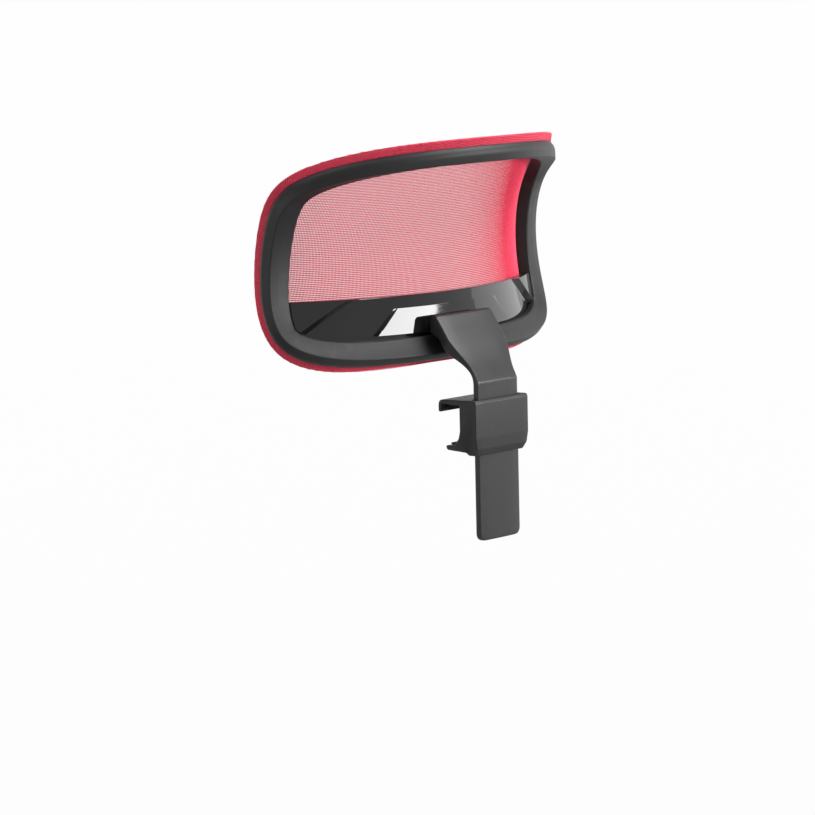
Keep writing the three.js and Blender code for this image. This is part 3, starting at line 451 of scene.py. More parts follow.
def acetal(name):
    """Off-white acetal: waxy, faintly translucent, with a fine skin."""
    n = Nodes(name)
    n.set(Subsurface_Weight=0.1, Subsurface_Scale=0.001)
    tone = n.ramp(n.noise(40, detail=3), [(0.3, (0.68, 0.68, 0.64)), (0.7, (0.76, 0.76, 0.72))])
    rough = n.spread(n.noise(500, detail=2), 0.36, 0.5)
    return n.finish(tone, rough, n.bump(n.noise(900, detail=2), strength=0.2, distance=0.00005))


PLAIN = bpy.data.materials.new("tool_only")
RING_PLASTIC = moulded("ring_plastic", 0.012, 0.48, shine=0.34)
ARM_PLASTIC = moulded("arm_plastic", 0.013, 0.36)
CLAMP_PLASTIC = moulded("clamp_plastic", 0.011, 0.42, shine=0.42)
INNER_PLASTIC = moulded("inner_plastic", 0.011, 0.55)
GLOSS = glossy("panel_gloss")
YARN = red_yarn("mesh_yarn", (0.86, 0.03, 0.09), (0.96, 0.055, 0.13))
HEM_YARN = red_yarn("hem_yarn", (0.36, 0.012, 0.03), (0.5, 0.022, 0.05))
RUBBER = rubber("black_rubber")
STEEL = metal("zinc_steel", (0.42, 0.43, 0.45), (0.6, 0.61, 0.63), 0.34, (1, 1, 0.08))
BRASS = metal("turned_brass", (0.55, 0.38, 0.13), (0.74, 0.55, 0.22), 0.3, (0.1, 1, 1))
ACETAL = acetal("white_acetal")

# ------------------------------------------------------------------ ring-shaped pieces
CAD_STATIONS = 56
PER_CAD_STATION = RING_STATIONS // CAD_STATIONS
WALL_FRONT, WALL_SHORTENING = 0.7, 3.9    # the inner wall is shorter behind the foot panel
WALL_STEP = (-57, -47)                    # the heights between which it changes
FRAME_SCREW_SHARES = (0.06, 0.17, 0.33, 0.44, 0.56, 0.69, 0.81, 0.94)
FRAME_SCREW_INSET = 13.2
PANEL_SCREW_SIDES = (-104, -44, 44, 104)
PANEL_SCREW_INSET = 21.6
BOSS_RADIUS, BOSS_HOLE = 3, 1.5
FRAME_BOSS = (4.4, 13.4, 4.2)             # front end, rear end and depth of the hole
PANEL_BOSS = (4.6, 10.6, 4)
HOLE_START, HOLE_END, SHANK_HOLE = -1, 6, 1.7
HEAD_SEAT, HEAD_HOLE = 2.2, 3


def inset(w):
    """The flat outline moved inwards."""
    return RIM + INWARD * (w * narrowing(INWARD[:, 1]))[:, None]


def sweep(section_at):
    """A closed section swept round the rim. section_at(t) gives (w, h) points for a station at height t."""
    stations = []
    for place, inward in zip(RIM, INWARD):
        section = section_at(place[1])
        flat = place + inward * (section[:, :1] * narrowing(inward[1]))
        stations.append(saddle(flat[:, 0], flat[:, 1], section[:, 1]))
    return np.concatenate(stations), grid_faces(RING_STATIONS, len(stations[0]), True, True)


def smooth_step(a, b, x):
    f = np.clip((np.asarray(x, float) - a) / (b - a), 0, 1)
    return f * f * (3 - 2 * f)


def frame_section(t):
    """The black ring's section: an outer wall, a ridge, a slope down to the window and an inner wall."""
    wall = WALL_FRONT + WALL_SHORTENING * (1 - smooth_step(*WALL_STEP, t))
    outside = [(5.4, 5.2, 0.4), (4.7, 9.2, 7), (5.9, 12.2, 7), (11.4, 17.2, 1.5), (18.5, 13.9, 20),
               (25.8, 10.3, 1.3), (27, 9.2, 1.0), (27, wall, 0.4)]
    inside = [(24.8, wall, 0.4), (24.8, 8.2, 1), (19.2, 11, 3), (13.5, 13.9, 2), (10.8, 14.4, 1),
              (9, 13.4, 1), (7.6, 11.4, 2), (7.1, 8.5, 2), (7.6, 5.2, 0.4)]
    return fillet(outside + inside)


def on_rim(j, w):
    """The flat place that lies w inside the rim at a station of the CAD ring."""
    k = j * PER_CAD_STATION % RING_STATIONS
    return RIM[k] + INWARD[k] * w * narrowing(INWARD[k, 1])


def nearest_cad_station(s):
    """The CAD station on the ring's foot that is nearest to a sideways place."""
    rim = RIM[::PER_CAD_STATION]
    return int(np.hypot(rim[:, 0] - s, rim[:, 1] + LOWER).argmin())


FRAME_SCREWS = [on_rim(round(part * CAD_STATIONS), FRAME_SCREW_INSET) for part in FRAME_SCREW_SHARES]
PANEL_SCREWS = [on_rim(nearest_cad_station(s), PANEL_SCREW_INSET) for s in PANEL_SCREW_SIDES]


def boss(place, front, rear, depth):
    """A screw boss on the saddle: a rod with a blind hole in its front end."""
    base, tip = saddle(*place, front), saddle(*place, rear)
    along = (tip - base) / np.linalg.norm(tip - base)
    circle = circle_round(along, [0, 0, 1], ROUND)
    outer, inner = circle * BOSS_RADIUS, circle * BOSS_HOLE
    return loft([base + along * depth + inner, base + inner, base + outer, tip + outer])


def screw_holes(piece, places):
    """Cuts stepped holes from the front: a clear hole for each screw, then the seat of its head."""
    for end, radius in ((HOLE_END, SHANK_HOLE), (HEAD_SEAT, HEAD_HOLE)):
        bore(piece, [(saddle(s, t, HOLE_START), saddle(s, t, end)) for s, t in places], radius, ROUND)


def ring_frame():
    bosses = [boss(place, *FRAME_BOSS) for place in FRAME_SCREWS]
    bosses += [boss(place, *PANEL_BOSS) for place in PANEL_SCREWS]
    shape = together(sweep(frame_section), *bosses)
    make("ring_frame", *shape, "headrest", "black_plastic", RING_PLASTIC, ["rear_frame"])


def carrier_ring():
    """The front ring, with the groove that the cloth's edge is locked in."""
    section = fillet([(3.2, 0.5, 0.8), (10, 0.5, 3), (16.6, 0.5, 0.7), (16.6, 3.9, 0.7), (9.3, 3.9, 0.2),
                      (9.3, 2.5, 0.2), (7.3, 2.5, 0.2), (7.3, 3.9, 0.2), (6, 3.9, 1), (2.5, 1.5, 1)], 4)
    carrier = make("carrier_ring", *sweep(lambda t: section), "headrest", "black_plastic", INNER_PLASTIC,
                   ["carrier_frame"])
    screw_holes(carrier, FRAME_SCREWS)
    dress(carrier, INNER_PLASTIC)
    return carrier


ring_frame()
carrier = carrier_ring()

# ------------------------------------------------------------------ the mesh: crossing yarns on the saddle
# The cloth's outer surface across its edge: over the carrier's front, round its rim and into the groove
# behind. The first and last corners only set its direction and are left off.
EDGE_STEPS = 7
EDGE_CORNERS = [(30, -0.9, 0.1), (3, -0.9, 2), (0.8, -0.6, 0.8), (0, 0.3, 0.7), (5, 4.9, 0.8),
                (7.25, 4.9, 0.2), (7.4, 3.1, 0.1), (30, 3.1, 0.1)]
EDGE_PATH = fillet(EDGE_CORNERS, EDGE_STEPS)[EDGE_STEPS:-EDGE_STEPS]
EDGE_WALK = walk_along(EDGE_PATH)
EDGE_TANGENT = np.gradient(EDGE_PATH, EDGE_WALK, axis=0)
EDGE_ZERO = EDGE_WALK[np.argmin(EDGE_PATH[:, 0])]
EDGE_REACH = EDGE_WALK[-1] - EDGE_ZERO
CLOTH_HALF = (HALF_WIDTH * 1.06 + EDGE_REACH, UPPER + EDGE_REACH + 4)     # a little more than the cloth

WEFT = {"pitch": 1.45, "width": 0.71, "thickness": 0.4, "depth": 0.22}    # from side to side
WARP = {"pitch": 1.2, "width": 0.52, "thickness": 0.36, "depth": 0.56}    # up and down
YARN_SECTION = [(-0.5, 0), (0, -0.5), (0.5, 0), (0, 0.5)]
YARN_STEP = 8.0                                      # between points in the middle of a yarn
END_STEPS = (0, 2, 4, 6, 7.5, 9, 10.5, 12, 14)       # from a yarn's end, where it bends round the edge
END_ZONE = 15                                        # how long those bent ends are
END_SEARCH, END_TRIM = 1.0, 0.4                      # how finely the cloth's edge is looked for, and the cut
SHORTEST_YARN = 12                                   # in samples of the search
YARN_ROUND_UV = 0.0004                               # the UV step from one side of a yarn to the next


def fabric(u, v, depth):
    """The flat cloth's point (u, v) in its stretched place, depth below its outer surface, in mm."""
    place, inward, inside = rim_place(u, v)
    walk = EDGE_ZERO - inside
    w, h, tw, th = (np.interp(walk, EDGE_WALK, column) for column in (*EDGE_PATH.T, *EDGE_TANGENT.T))
    length = np.hypot(tw, th)
    w, h = w + depth * th / length, h - depth * tw / length
    behind = walk > EDGE_ZERO
    reach = np.where(behind, narrowing(inward[:, 1]), 1.0)
    edge = place + inward * (w * reach)[:, None]
    on_edge = walk > 0
    s = np.where(on_edge, edge[:, 0], np.ravel(u))
    t = np.where(on_edge, edge[:, 1], np.ravel(v))
    return saddle(s, t, np.where(on_edge, h, EDGE_PATH[0, 1] + depth))


def yarn_lines(pitch, across):
    """Sample points of every yarn in one direction, as (u, v) arrays that lie on the cut cloth."""
    high, reach = CLOTH_HALF[::-1] if across else CLOTH_HALF
    lines = []
    for k in range(math.ceil(-high / pitch), math.floor(high / pitch) + 1):
        along = np.arange(-reach, reach, END_SEARCH)
        fixed = np.full_like(along, k * pitch)
        u, v = (along, fixed) if across else (fixed, along)
        inside = rim_place(u, v)[2]
        kept = np.nonzero(inside > -EDGE_REACH + END_TRIM)[0]
        if len(kept) < SHORTEST_YARN:
            continue
        low_end, high_end = along[kept[0]], along[kept[-1]]
        body = np.arange(math.ceil(low_end / YARN_STEP), math.floor(high_end / YARN_STEP) + 1) * YARN_STEP
        middle = body[(body > low_end + END_ZONE) & (body < high_end - END_ZONE)]
        ends = [low_end + f for f in END_STEPS] + [high_end - f for f in END_STEPS]
        places = np.unique(np.concatenate([ends, middle]))
        fixed = np.full_like(places, k * pitch)
        lines.append((places, fixed) if across else (fixed, places))
    return lines


def yarn_net(across, pitch, width, thickness, depth):
    """The yarns of one direction as one shape, and how far along its yarn each point lies."""
    lines = yarn_lines(pitch, across)
    u = np.concatenate([line[0] for line in lines])
    v = np.concatenate([line[1] for line in lines])
    outer, inner = fabric(u, v, 0.0), fabric(u, v, 1.0)
    tubes, walks = [], []
    start = 0
    for line in lines:
        end = start + len(line[0])
        normal = inner[start:end] - outer[start:end]
        normal /= np.linalg.norm(normal, axis=1)[:, None]
        centre = outer[start:end] + normal * depth
        side = np.cross(normal, np.gradient(centre, axis=0))
        side /= np.linalg.norm(side, axis=1)[:, None]
        lanes = [centre + side * (a * width) + normal * (b * thickness) for a, b in YARN_SECTION]
        tubes.append(loft(list(np.stack(lanes, axis=1))))
        walks.append(np.repeat(walk_along(centre), len(YARN_SECTION)))
        start = end
    return together(*tubes), np.concatenate(walks)


def mesh_net():
    """The woven cloth, with UVs that run along each yarn for the twist of its filaments."""
    weft, weft_walk = yarn_net(True, **WEFT)
    warp, warp_walk = yarn_net(False, **WARP)
    walked = np.concatenate([weft_walk, warp_walk])
    piece = make("mesh_net", *together(weft, warp), "headrest", "red_mesh", YARN, ["mesh_cover"], sharp=180)
    layer = piece.data.uv_layers.new(name="yarn")
    corners = np.empty(len(piece.data.loops), int)
    piece.data.loops.foreach_get("vertex_index", corners)
    uv = np.stack([walked[corners] * MM, (corners % len(YARN_SECTION)) * YARN_ROUND_UV], axis=1)
    layer.data.foreach_set("uv", uv.astype(np.float32).ravel())
    return piece


net = mesh_net()

HEM_LEAD, HEM_TAIL = 2.2, 1.2         # from before the cloth's outermost place to short of its cut edge
HEM_OUTER, HEM_INNER = 0.62, 0.95     # how deep its two faces lie below the cloth's outer surface


def hem_section():
    keep = (EDGE_WALK > EDGE_ZERO - HEM_LEAD) & (EDGE_WALK < EDGE_WALK[-1] - HEM_TAIL)
    path, along = EDGE_PATH[keep], EDGE_TANGENT[keep]
    along = along / np.linalg.norm(along, axis=1)[:, None]
    inner = np.stack([along[:, 1], -along[:, 0]], axis=1)
    return np.concatenate([path + inner * HEM_OUTER, (path + inner * HEM_INNER)[::-1]])


HEM = hem_section()
hem = make("mesh_hem", *sweep(lambda t: HEM), "headrest", "red_mesh", HEM_YARN)

# ------------------------------------------------------------------ the glossy foot panel
PANEL_TOP, PANEL_FOOT = -39.5, -71.0
PANEL_INSET = 17.5                    # its edge, from the rim
PANEL_END = 1.2                       # how deep the plate still is at its two ends
PANEL_FRONT, PANEL_REAR = 0.7, 4.2
PANEL_COLUMNS = 300
PANEL_ROWS = np.concatenate([np.linspace(0, 0.96, 24), [0.975, 0.985, 0.993, 1]])      # shares of its height
LIP_HEIGHT, LIP_DROP = 0.5, 0.4       # the rounding of the rear face into the top edge
RAISED_FRONT = 3.0                    # the front of the raised parts, sunk in the plate
PLATEAU_TOP, PLATEAU_FOOT = -49.3, -69.5
PLATEAU_TOP_HALF, PLATEAU_FOOT_HALF = 61.0, 82.0
PLATEAU_RISE = (0.3, 3.2)             # at its top and its foot
PLATEAU_SHOULDER = 3.5
WING_CREASE = (97.0, 153.0)           # where the raised ends begin, at the panel's top and foot
WING_RISE, WING_RAMP, WING_INSET = 4.2, 7.5, 28.3
WING_SUNK, WING_OVERLAP, WING_NARROWEST = 0.02, 0.4, 1.5
WING_ROWS = 60
RAMP_SHARES = (0, 0.5, 0.93, 0.98, 1, 1.02)     # of the ramp's width, close together at its top
HINGE_Y, HINGE_Z = -15.4, 64.0
BRACKET_SCREWS = [(x, HINGE_Z + z) for x in (-24.6, 24.6) for z in (1.2, -4.2)]
BRACKET_FRONT = HINGE_Y - 5.9
BRACKET_HOLES = ((3, 1.5), (-3.2, 2.5))     # for shanks and heads: end from the bracket's front, and radius
OPEN_FRONT = -40                            # well in front of whatever is cut from the front


def plate(s, t, rear_h, front_h):
    """A closed plate on the saddle from grids of s, t and the heights of its two faces."""
    columns, rows = s.shape
    points = np.concatenate([saddle(s, t, rear_h).reshape(-1, 3), saddle(s, t, front_h).reshape(-1, 3)])
    n = columns * rows
    rear = grid_faces(columns, rows)
    faces = rear + [tuple(n + i for i in reversed(f)) for f in rear]
    rim = [c * rows for c in range(columns)]
    rim += [(columns - 1) * rows + r for r in range(1, rows)]
    rim += [c * rows + rows - 1 for c in range(columns - 2, -1, -1)]
    rim += [r for r in range(rows - 2, 0, -1)]
    for i, a in enumerate(rim):
        b = rim[(i + 1) % len(rim)]
        faces.append((a, n + a, n + b, b))
    return points, faces


def panel_base():
    """The plate from the ring's foot up to the window, with its rows crowded at the rounded top edge."""
    edge = inset(PANEL_INSET)
    lower = edge[edge[:, 1] < PANEL_TOP - PANEL_END]
    lower = lower[np.argsort(lower[:, 0])]
    columns = np.linspace(lower[0, 0], lower[-1, 0], PANEL_COLUMNS)
    low = np.interp(columns, lower[:, 0], lower[:, 1])[:, None]
    s = np.repeat(columns[:, None], len(PANEL_ROWS), 1)
    t = low + (PANEL_TOP - low) * PANEL_ROWS
    lip = np.clip(LIP_HEIGHT - (PANEL_TOP - t), 0, LIP_HEIGHT) / LIP_HEIGHT
    return plate(s, t, PANEL_REAR - LIP_DROP * (1 - np.sqrt(1 - lip ** 2)), PANEL_FRONT + 0 * s)


def plateau():
    """The wedge behind the arm's head: its face leans up to meet the light."""
    u = np.concatenate([np.linspace(-1, -0.93, 12), np.linspace(-0.92, 0.92, 70), np.linspace(0.93, 1, 12)])
    u, f = np.meshgrid(u, np.linspace(0, 1, 24), indexing="ij")
    half = PLATEAU_TOP_HALF + (PLATEAU_FOOT_HALF - PLATEAU_TOP_HALF) * f
    rise = PLATEAU_RISE[0] + (PLATEAU_RISE[1] - PLATEAU_RISE[0]) * f
    rise = rise * np.clip(half * (1 - np.abs(u)) / PLATEAU_SHOULDER, 0, 1)
    t = PLATEAU_TOP + (PLATEAU_FOOT - PLATEAU_TOP) * f
    return plate(half * u, t, PANEL_REAR + rise, RAISED_FRONT + 0 * u)


def wing(side):
    """A raised end of the panel: a ramp up from its slanting crease, then a flat out to the ring."""
    curve = inset(WING_INSET)
    curve = curve[(curve[:, 0] > 60) & (curve[:, 1] < PANEL_TOP + 8)]
    curve = curve[np.argsort(curve[:, 1])]
    rows = np.linspace(PANEL_TOP - WING_OVERLAP, PANEL_FOOT, WING_ROWS)
    fall = (PANEL_TOP - rows) / (PANEL_TOP - PANEL_FOOT)
    crease = WING_CREASE[0] + (WING_CREASE[1] - WING_CREASE[0]) * fall
    outer = np.interp(rows, curve[:, 1], curve[:, 0])
    kept = outer - crease > WING_NARROWEST
    rows, crease, outer = rows[kept], crease[kept], outer[kept]
    wide = outer - crease
    ramp = np.minimum(WING_RAMP, wide * 0.96)
    up = np.array(RAMP_SHARES)[:, None] * ramp
    flat = up[-1] + (wide - up[-1]) * np.linspace(0.04, 1, 24)[:, None]
    along = np.concatenate([up, flat])
    s = crease + along
    rise = WING_RISE * np.clip(along / WING_RAMP, 0, 1)
    return plate(side * s, rows + 0 * s, PANEL_REAR - WING_SUNK + rise, RAISED_FRONT + 0 * s)


def bracket_holes(piece):
    """Cuts the holes for the bracket's screws from the front."""
    for end, radius in BRACKET_HOLES:
        bore(piece, [((x, OPEN_FRONT, z), (x, BRACKET_FRONT + end, z)) for x, z in BRACKET_SCREWS], radius)


def foot_panel():
    panel = make("panel_gloss_face", *panel_base(), "headrest", "gloss_black", GLOSS, ["foot_panel"])
    screw_holes(panel, PANEL_SCREWS)
    bracket_holes(panel)
    wedge = tool(*plateau())
    bracket_holes(wedge)
    absorb(panel, wedge)
    absorb(panel, tool(*together(wing(1), wing(-1))))
    dress(panel, GLOSS, 30)


foot_panel()

# ------------------------------------------------------------------ the arm
TONGUE_REAR, TONGUE_FRONT, TONGUE_FOOT, TONGUE_HALF = 22.0, 17.0, -106.8, 24.6
TONGUE_LEVELS = (-90, -60, -30, 0)
TONGUE_CORNER = 6.0
FOOT_SQUEEZE = 0.9                    # how much each face draws in at the tongue's very end
HEAD_HALF = 34.0
HEAD_WIDENS = (25, 55)                # the heights between which the arm grows to the head's width
HEAD_SHOULDER, HEAD_ROUND, HEAD_DRAW = 69.2, 3.0, 1.6     # the head's top corners: from, over, by how much
ARM_EDGE, ARM_CROWN = 1.3, 0.35       # the rounding of its long edges, and the swell of its rear face
# rear and front points of the arm's side view, from the tongue's foot to the top of the head
ARM_PAIRS = np.array([
    ((22, 10), (17, 10)), ((22, 16), (17, 15.6)), ((22, 18.6), (17, 17.6)), ((21.75, 19.9), (16.95, 18.8)),
    ((21.0, 21.6), (16.7, 20.6)), ((19.6, 24.4), (15.7, 23.8)), ((17.4, 28.4), (13.4, 27.6)),
    ((14.2, 33.9), (9.4, 32.2)), ((10.8, 39.2), (4.2, 36.6)), ((6.9, 44.8), (-0.8, 40.4)),
    ((3.0, 50.2), (-4.8, 44.6)), ((-0.9, 55.8), (-7.6, 49.6)), ((-3.5, 59.6), (-10.2, 53.4)),
    ((-5.4, 62.4), (-14.4, 56.0)), ((-7.0, 64.7), (-17.4, 57.6)), ((-8.2, 66.4), (-18.1, 60.4)),
    ((-9.2, 67.8), (-18.4, 64.4)), ((-10.1, 69.1), (-18.5, 68.4)), ((-11.0, 70.3), (-18.3, 70.2)),
    ((-12.2, 71.4), (-17.6, 71.3)), ((-13.6, 72.0), (-16.4, 71.9)),
])
HEAD_WALL, HEAD_SIDE_WALL = 3.4, 2.4
HOLLOW_LEVELS = (37.2, 40, 44, 48, 52, 56, 60, 64, 67, 69.6)
HOLLOW_WIDEST = 66                    # above this height the hollow keeps its width
STRIP_BED, STRIP_WALL, STRIP_HALF = 19.4, 3.3, 14.3
STRIP_FOOT, STRIP_STRAIGHT, STRIP_BENDS = -94.8, 17, (20, 24, 28, 32, 36, 38.4)     # heights
STRIP_OPEN = -30                      # in front of the neck
LUG_SIDES, LUG_ROUND = (11.7, 16.2), 4
LUG_ROOT = [(-6.2, 60), (-8.4, 64), (-10.4, 66.6), (-12, 68)]
PIN_BORE, PIN_REACH = 2.1, 17
STOP_SCREW_Z, STOP_BORE, STOP_DEPTH = -100.3, 1.45, (10, 20.6)


def arm_half(z):
    """Half the arm's width at a height, as seen from the front."""
    half = TONGUE_HALF + (HEAD_HALF - TONGUE_HALF) * smooth_step(*HEAD_WIDENS, z)
    top = np.clip((z - HEAD_SHOULDER) / HEAD_ROUND, 0, 1)
    return half - HEAD_DRAW * (1 - np.sqrt(1 - top ** 2))


def arm_section(rear, front, half):
    """A rounded rectangle in the plane of X and the line from a rear to a front point."""
    rear, front = np.array(rear, float), np.array(front, float)
    deep = np.linalg.norm(rear - front)
    edge = min(ARM_EDGE, deep * 0.45)
    crown = -ARM_CROWN
    flat = fillet([(-half, 0, edge), (-half * 0.5, crown * 0.75, 0), (0, crown, 0),
                   (half * 0.5, crown * 0.75, 0), (half, 0, edge), (half, deep, edge),
                   (-half, deep, edge)], 6)
    line = (front - rear) / deep
    return np.stack([flat[:, 0], rear[0] + line[0] * flat[:, 1], rear[1] + line[1] * flat[:, 1]], axis=1)


def between(points, place):
    """The point at a fractional place in a list, on a Catmull-Rom curve through its points."""
    i = min(int(place), len(points) - 2)
    f = place - i
    a, b, c, d = points[max(i - 1, 0)], points[i], points[i + 1], points[min(i + 2, len(points) - 1)]
    return 0.5 * (2 * b + (c - a) * f + (2 * a - 5 * b + 4 * c - d) * f ** 2
                  + (3 * b - a - 3 * c + d) * f ** 3)


def tongue_sections():
    """The tongue's rounded foot and its straight part."""
    sections = []
    for f in (0.0, 0.06, 0.16, 0.3, 0.45, 0.62, 0.8, 1.0):
        z = TONGUE_FOOT + TONGUE_CORNER * f
        half = TONGUE_HALF - TONGUE_CORNER + TONGUE_CORNER * math.sqrt(1 - (1 - f) ** 2)
        squeeze = FOOT_SQUEEZE * max(0, 1 - f * TONGUE_CORNER) ** 2
        sections.append(arm_section((TONGUE_REAR - squeeze, z), (TONGUE_FRONT + squeeze, z), half))
    for z in TONGUE_LEVELS:
        sections.append(arm_section((TONGUE_REAR, z), (TONGUE_FRONT, z), TONGUE_HALF))
    return sections


def neck_sections(steps=4):
    """The curved neck and the head, with this many sections to each listed pair of points."""
    sections = []
    for place in np.arange(0, len(ARM_PAIRS) - 1 + 1e-9, 1 / steps):
        rear, front = between(ARM_PAIRS, place)
        sections.append(arm_section(rear, front, float(arm_half(rear[1]))))
    return sections


def rear_line_y(z):
    return float(np.interp(z, ARM_PAIRS[:, 0, 1], ARM_PAIRS[:, 0, 0]))


def head_hollow():
    """The space in the neck and head for the hinge, open to the front."""
    sections = []
    for z in HOLLOW_LEVELS:
        rear = rear_line_y(z) - HEAD_WALL
        half = float(arm_half(min(z, HOLLOW_WIDEST))) - HEAD_SIDE_WALL
        corners = [(-half, OPEN_FRONT, z), (half, OPEN_FRONT, z), (half, rear, z), (-half, rear, z)]
        sections.append(np.array(corners))
    return loft(sections)


def strip_pocket():
    """The channel for the steel strip, in the front of the tongue and the neck."""
    line = [(STRIP_BED, STRIP_FOOT), (STRIP_BED, STRIP_STRAIGHT)]
    line += [(rear_line_y(z) - STRIP_WALL, z) for z in STRIP_BENDS]
    line += [(STRIP_OPEN, STRIP_BENDS[-1]), (STRIP_OPEN, STRIP_FOOT)]
    return loft([np.array([(x, y, z) for y, z in line]) for x in (-STRIP_HALF, STRIP_HALF)])


def hinge_lug(side):
    """A lug that carries one end of the hinge pin, rooted in the head's rear wall."""
    turns = np.linspace(math.pi / 2, 1.5 * math.pi, 24)
    shape = [(HINGE_Y + LUG_ROUND * math.cos(a), HINGE_Z + LUG_ROUND * math.sin(a)) for a in turns]
    return loft([np.array([(side * x, y, z) for y, z in shape + LUG_ROOT]) for x in LUG_SIDES])


def arm_body():
    shape = loft(tongue_sections() + neck_sections())
    arm = make("arm_body", *shape, "arm", "black_plastic", ARM_PLASTIC, ["arm_shell"])
    boolean(arm, tool(*head_hollow()))
    boolean(arm, tool(*strip_pocket()))
    for side in (-1, 1):
        boolean(arm, tool(*hinge_lug(side)), "UNION")
    bore(arm, [((-PIN_REACH, HINGE_Y, HINGE_Z), (PIN_REACH, HINGE_Y, HINGE_Z))], PIN_BORE, 32)
    bore(arm, [[(0, y, STOP_SCREW_Z) for y in STOP_DEPTH]], STOP_BORE)
    dress(arm, ARM_PLASTIC)


arm_body()

# ------------------------------------------------------------------ the clamp
CLAMP_HALF = 32.5
CLAMP_NARROWS, CLAMP_NARROWING, CLAMP_FALL = -24.5, 4.6, 14.0      # its sides draw in below this height
CLAMP_EDGE = 1.0
CLAMP_STATIONS = (-24, -12, 0, 12, 24)
# its side view: the lip and foot, the rear, the top, the hook's nose, then the channel for the rail
CLAMP_SIDE = fillet([
    (-6.6, -35, 1.6), (12.6, -36.2, 2), (14, -38.5, 1.4), (23.3, -38.5, 2), (25.4, -33, 6), (26, -24, 9),
    (26, 6, 3), (-12.8, 5.3, 4.6), (-12.8, -4.5, 1.5), (-9.6, -4.5, 1.5), (-9.6, 1.8, 1), (8.8, 1.8, 1.2),
    (8.8, -19, 6), (7.4, -25, 6), (2.2, -30.6, 2.4), (-0.6, -31, 1.6), (-6.6, -31, 1.6)], 7)
SLEEVE = (26.6, 16.6, 22.4, 0.8)      # half width, front, rear and corner radius
SLEEVE_MOUTH = (27.4, 15.9, 23.1, 1.4)
PLATE_POCKET = ((-24.3, 24.3), (7, 10.3), (-17.8, -5.7))         # x, y and z of the pressure plate's pocket
SPRING_POCKET = ((-9.3, 9.3), (14.8, 17.6), (-35.3, -12.7))      # and of the brake spring's
INSERT_SIDES, INSERT_Z, INSERT_BORE, INSERT_DEPTH = (-15, 15), -11.5, 4.55, (8, 17.6)


def outline_normals(points):
    """Outward unit normals of a closed outline."""
    along = np.roll(points, -1, axis=0) - np.roll(points, 1, axis=0)
    along /= np.maximum(np.linalg.norm(along, axis=1), 1e-9)[:, None]
    normals = np.stack([along[:, 1], -along[:, 0]], axis=1)
    x, y = points[:, 0], points[:, 1]
    area = float((x * np.roll(y, -1) - y * np.roll(x, -1)).sum())
    return normals if area > 0 else -normals


def clamp_half(z):
    """Half the clamp's width at a height: straight sides that draw in towards the foot."""
    foot = np.clip((CLAMP_NARROWS - z) / CLAMP_FALL, 0, 1)
    return CLAMP_HALF - CLAMP_NARROWING * foot ** 2.2


def box(xs, ys, zs):
    (x0, x1), (y0, y1) = xs, ys
    return loft([np.array([(x0, y0, z), (x1, y0, z), (x1, y1, z), (x0, y1, z)], float) for z in zs])


def opening(half, front, rear, radius):
    """The sleeve's opening as seen from above."""
    corners = [(-half, front), (half, front), (half, rear), (-half, rear)]
    return fillet([(x, y, radius) for x, y in corners], 4)


def sleeve():
    """The way through for the tongue, flared at both ends."""
    inner, mouth = opening(*SLEEVE), opening(*SLEEVE_MOUTH)
    levels = [(mouth, -50), (mouth, -38.4), (inner, -37.6), (inner, 5.2), (mouth, 6.0), (mouth, 20)]
    return loft([np.column_stack([flat, np.full(len(flat), z)]) for flat, z in levels])


def clamp_shape():
    """The side view carried across, with its edges rounded at both ends."""
    turns = np.linspace(0, math.pi / 2, 6)
    ends = [(CLAMP_EDGE * (1 - math.sin(a)), CLAMP_EDGE * (1 - math.cos(a))) for a in turns]
    stations = [(pull, -1 + short / CLAMP_HALF) for pull, short in ends]
    stations += [(0, x / CLAMP_HALF) for x in CLAMP_STATIONS]
    stations += [(pull, 1 - short / CLAMP_HALF) for pull, short in reversed(ends)]
    normals = outline_normals(CLAMP_SIDE)
    half = clamp_half(CLAMP_SIDE[:, 1])
    return loft([np.column_stack([share * half, CLAMP_SIDE - normals * pull]) for pull, share in stations])


def clamp_body():
    clamp = make("clamp_body", *clamp_shape(), "clamp", "black_plastic", CLAMP_PLASTIC, ["clamp_housing"])
    for shape in (sleeve(), box(*PLATE_POCKET), box(*SPRING_POCKET)):
        boolean(clamp, tool(*shape))
    bore(clamp, [[(x, y, INSERT_Z) for y in INSERT_DEPTH] for x in INSERT_SIDES], INSERT_BORE, 32)
    dress(clamp, CLAMP_PLASTIC)


clamp_body()

# ------------------------------------------------------------------ the CAD nodes that stay as they are
REBUILT = {"rear_frame", "carrier_frame", "mesh_cover", "foot_panel", "arm_shell", "clamp_housing"}
SMALL_PARTS = [
    (RUBBER, ["rail_top_pad", "rail_nose_pad", "rail_lip_pad", "mesh_retainer"]),
    (BRASS, ["screw_insert_left", "screw_insert_right"]),
    (ACETAL, ["glide_liner_left", "glide_liner_right", "friction_washer_left", "friction_washer_right"]),
    (INNER_PLASTIC, ["arm_front_cover", "tongue_stop"]),
]
FINISH_OF = {name: material for material, names in SMALL_PARTS for name in names}
EDGE_ROUNDING, SHARP_EDGE = 0.00012, 40     # in metres and degrees


def finish_small_parts():
    """Gives each kept node its material and a hair of rounding on its edges. The rest are steel."""
    for name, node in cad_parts.items():
        if name in REBUILT:
            continue
        node.data.materials.clear()
        node.data.materials.append(FINISH_OF.get(name, STEEL))
        bevel = node.modifiers.new("edge", "BEVEL")
        bevel.width = EDGE_ROUNDING
        bevel.segments = 2
        bevel.limit_method = "ANGLE"
        bevel.angle_limit = math.radians(SHARP_EDGE)


finish_small_parts()

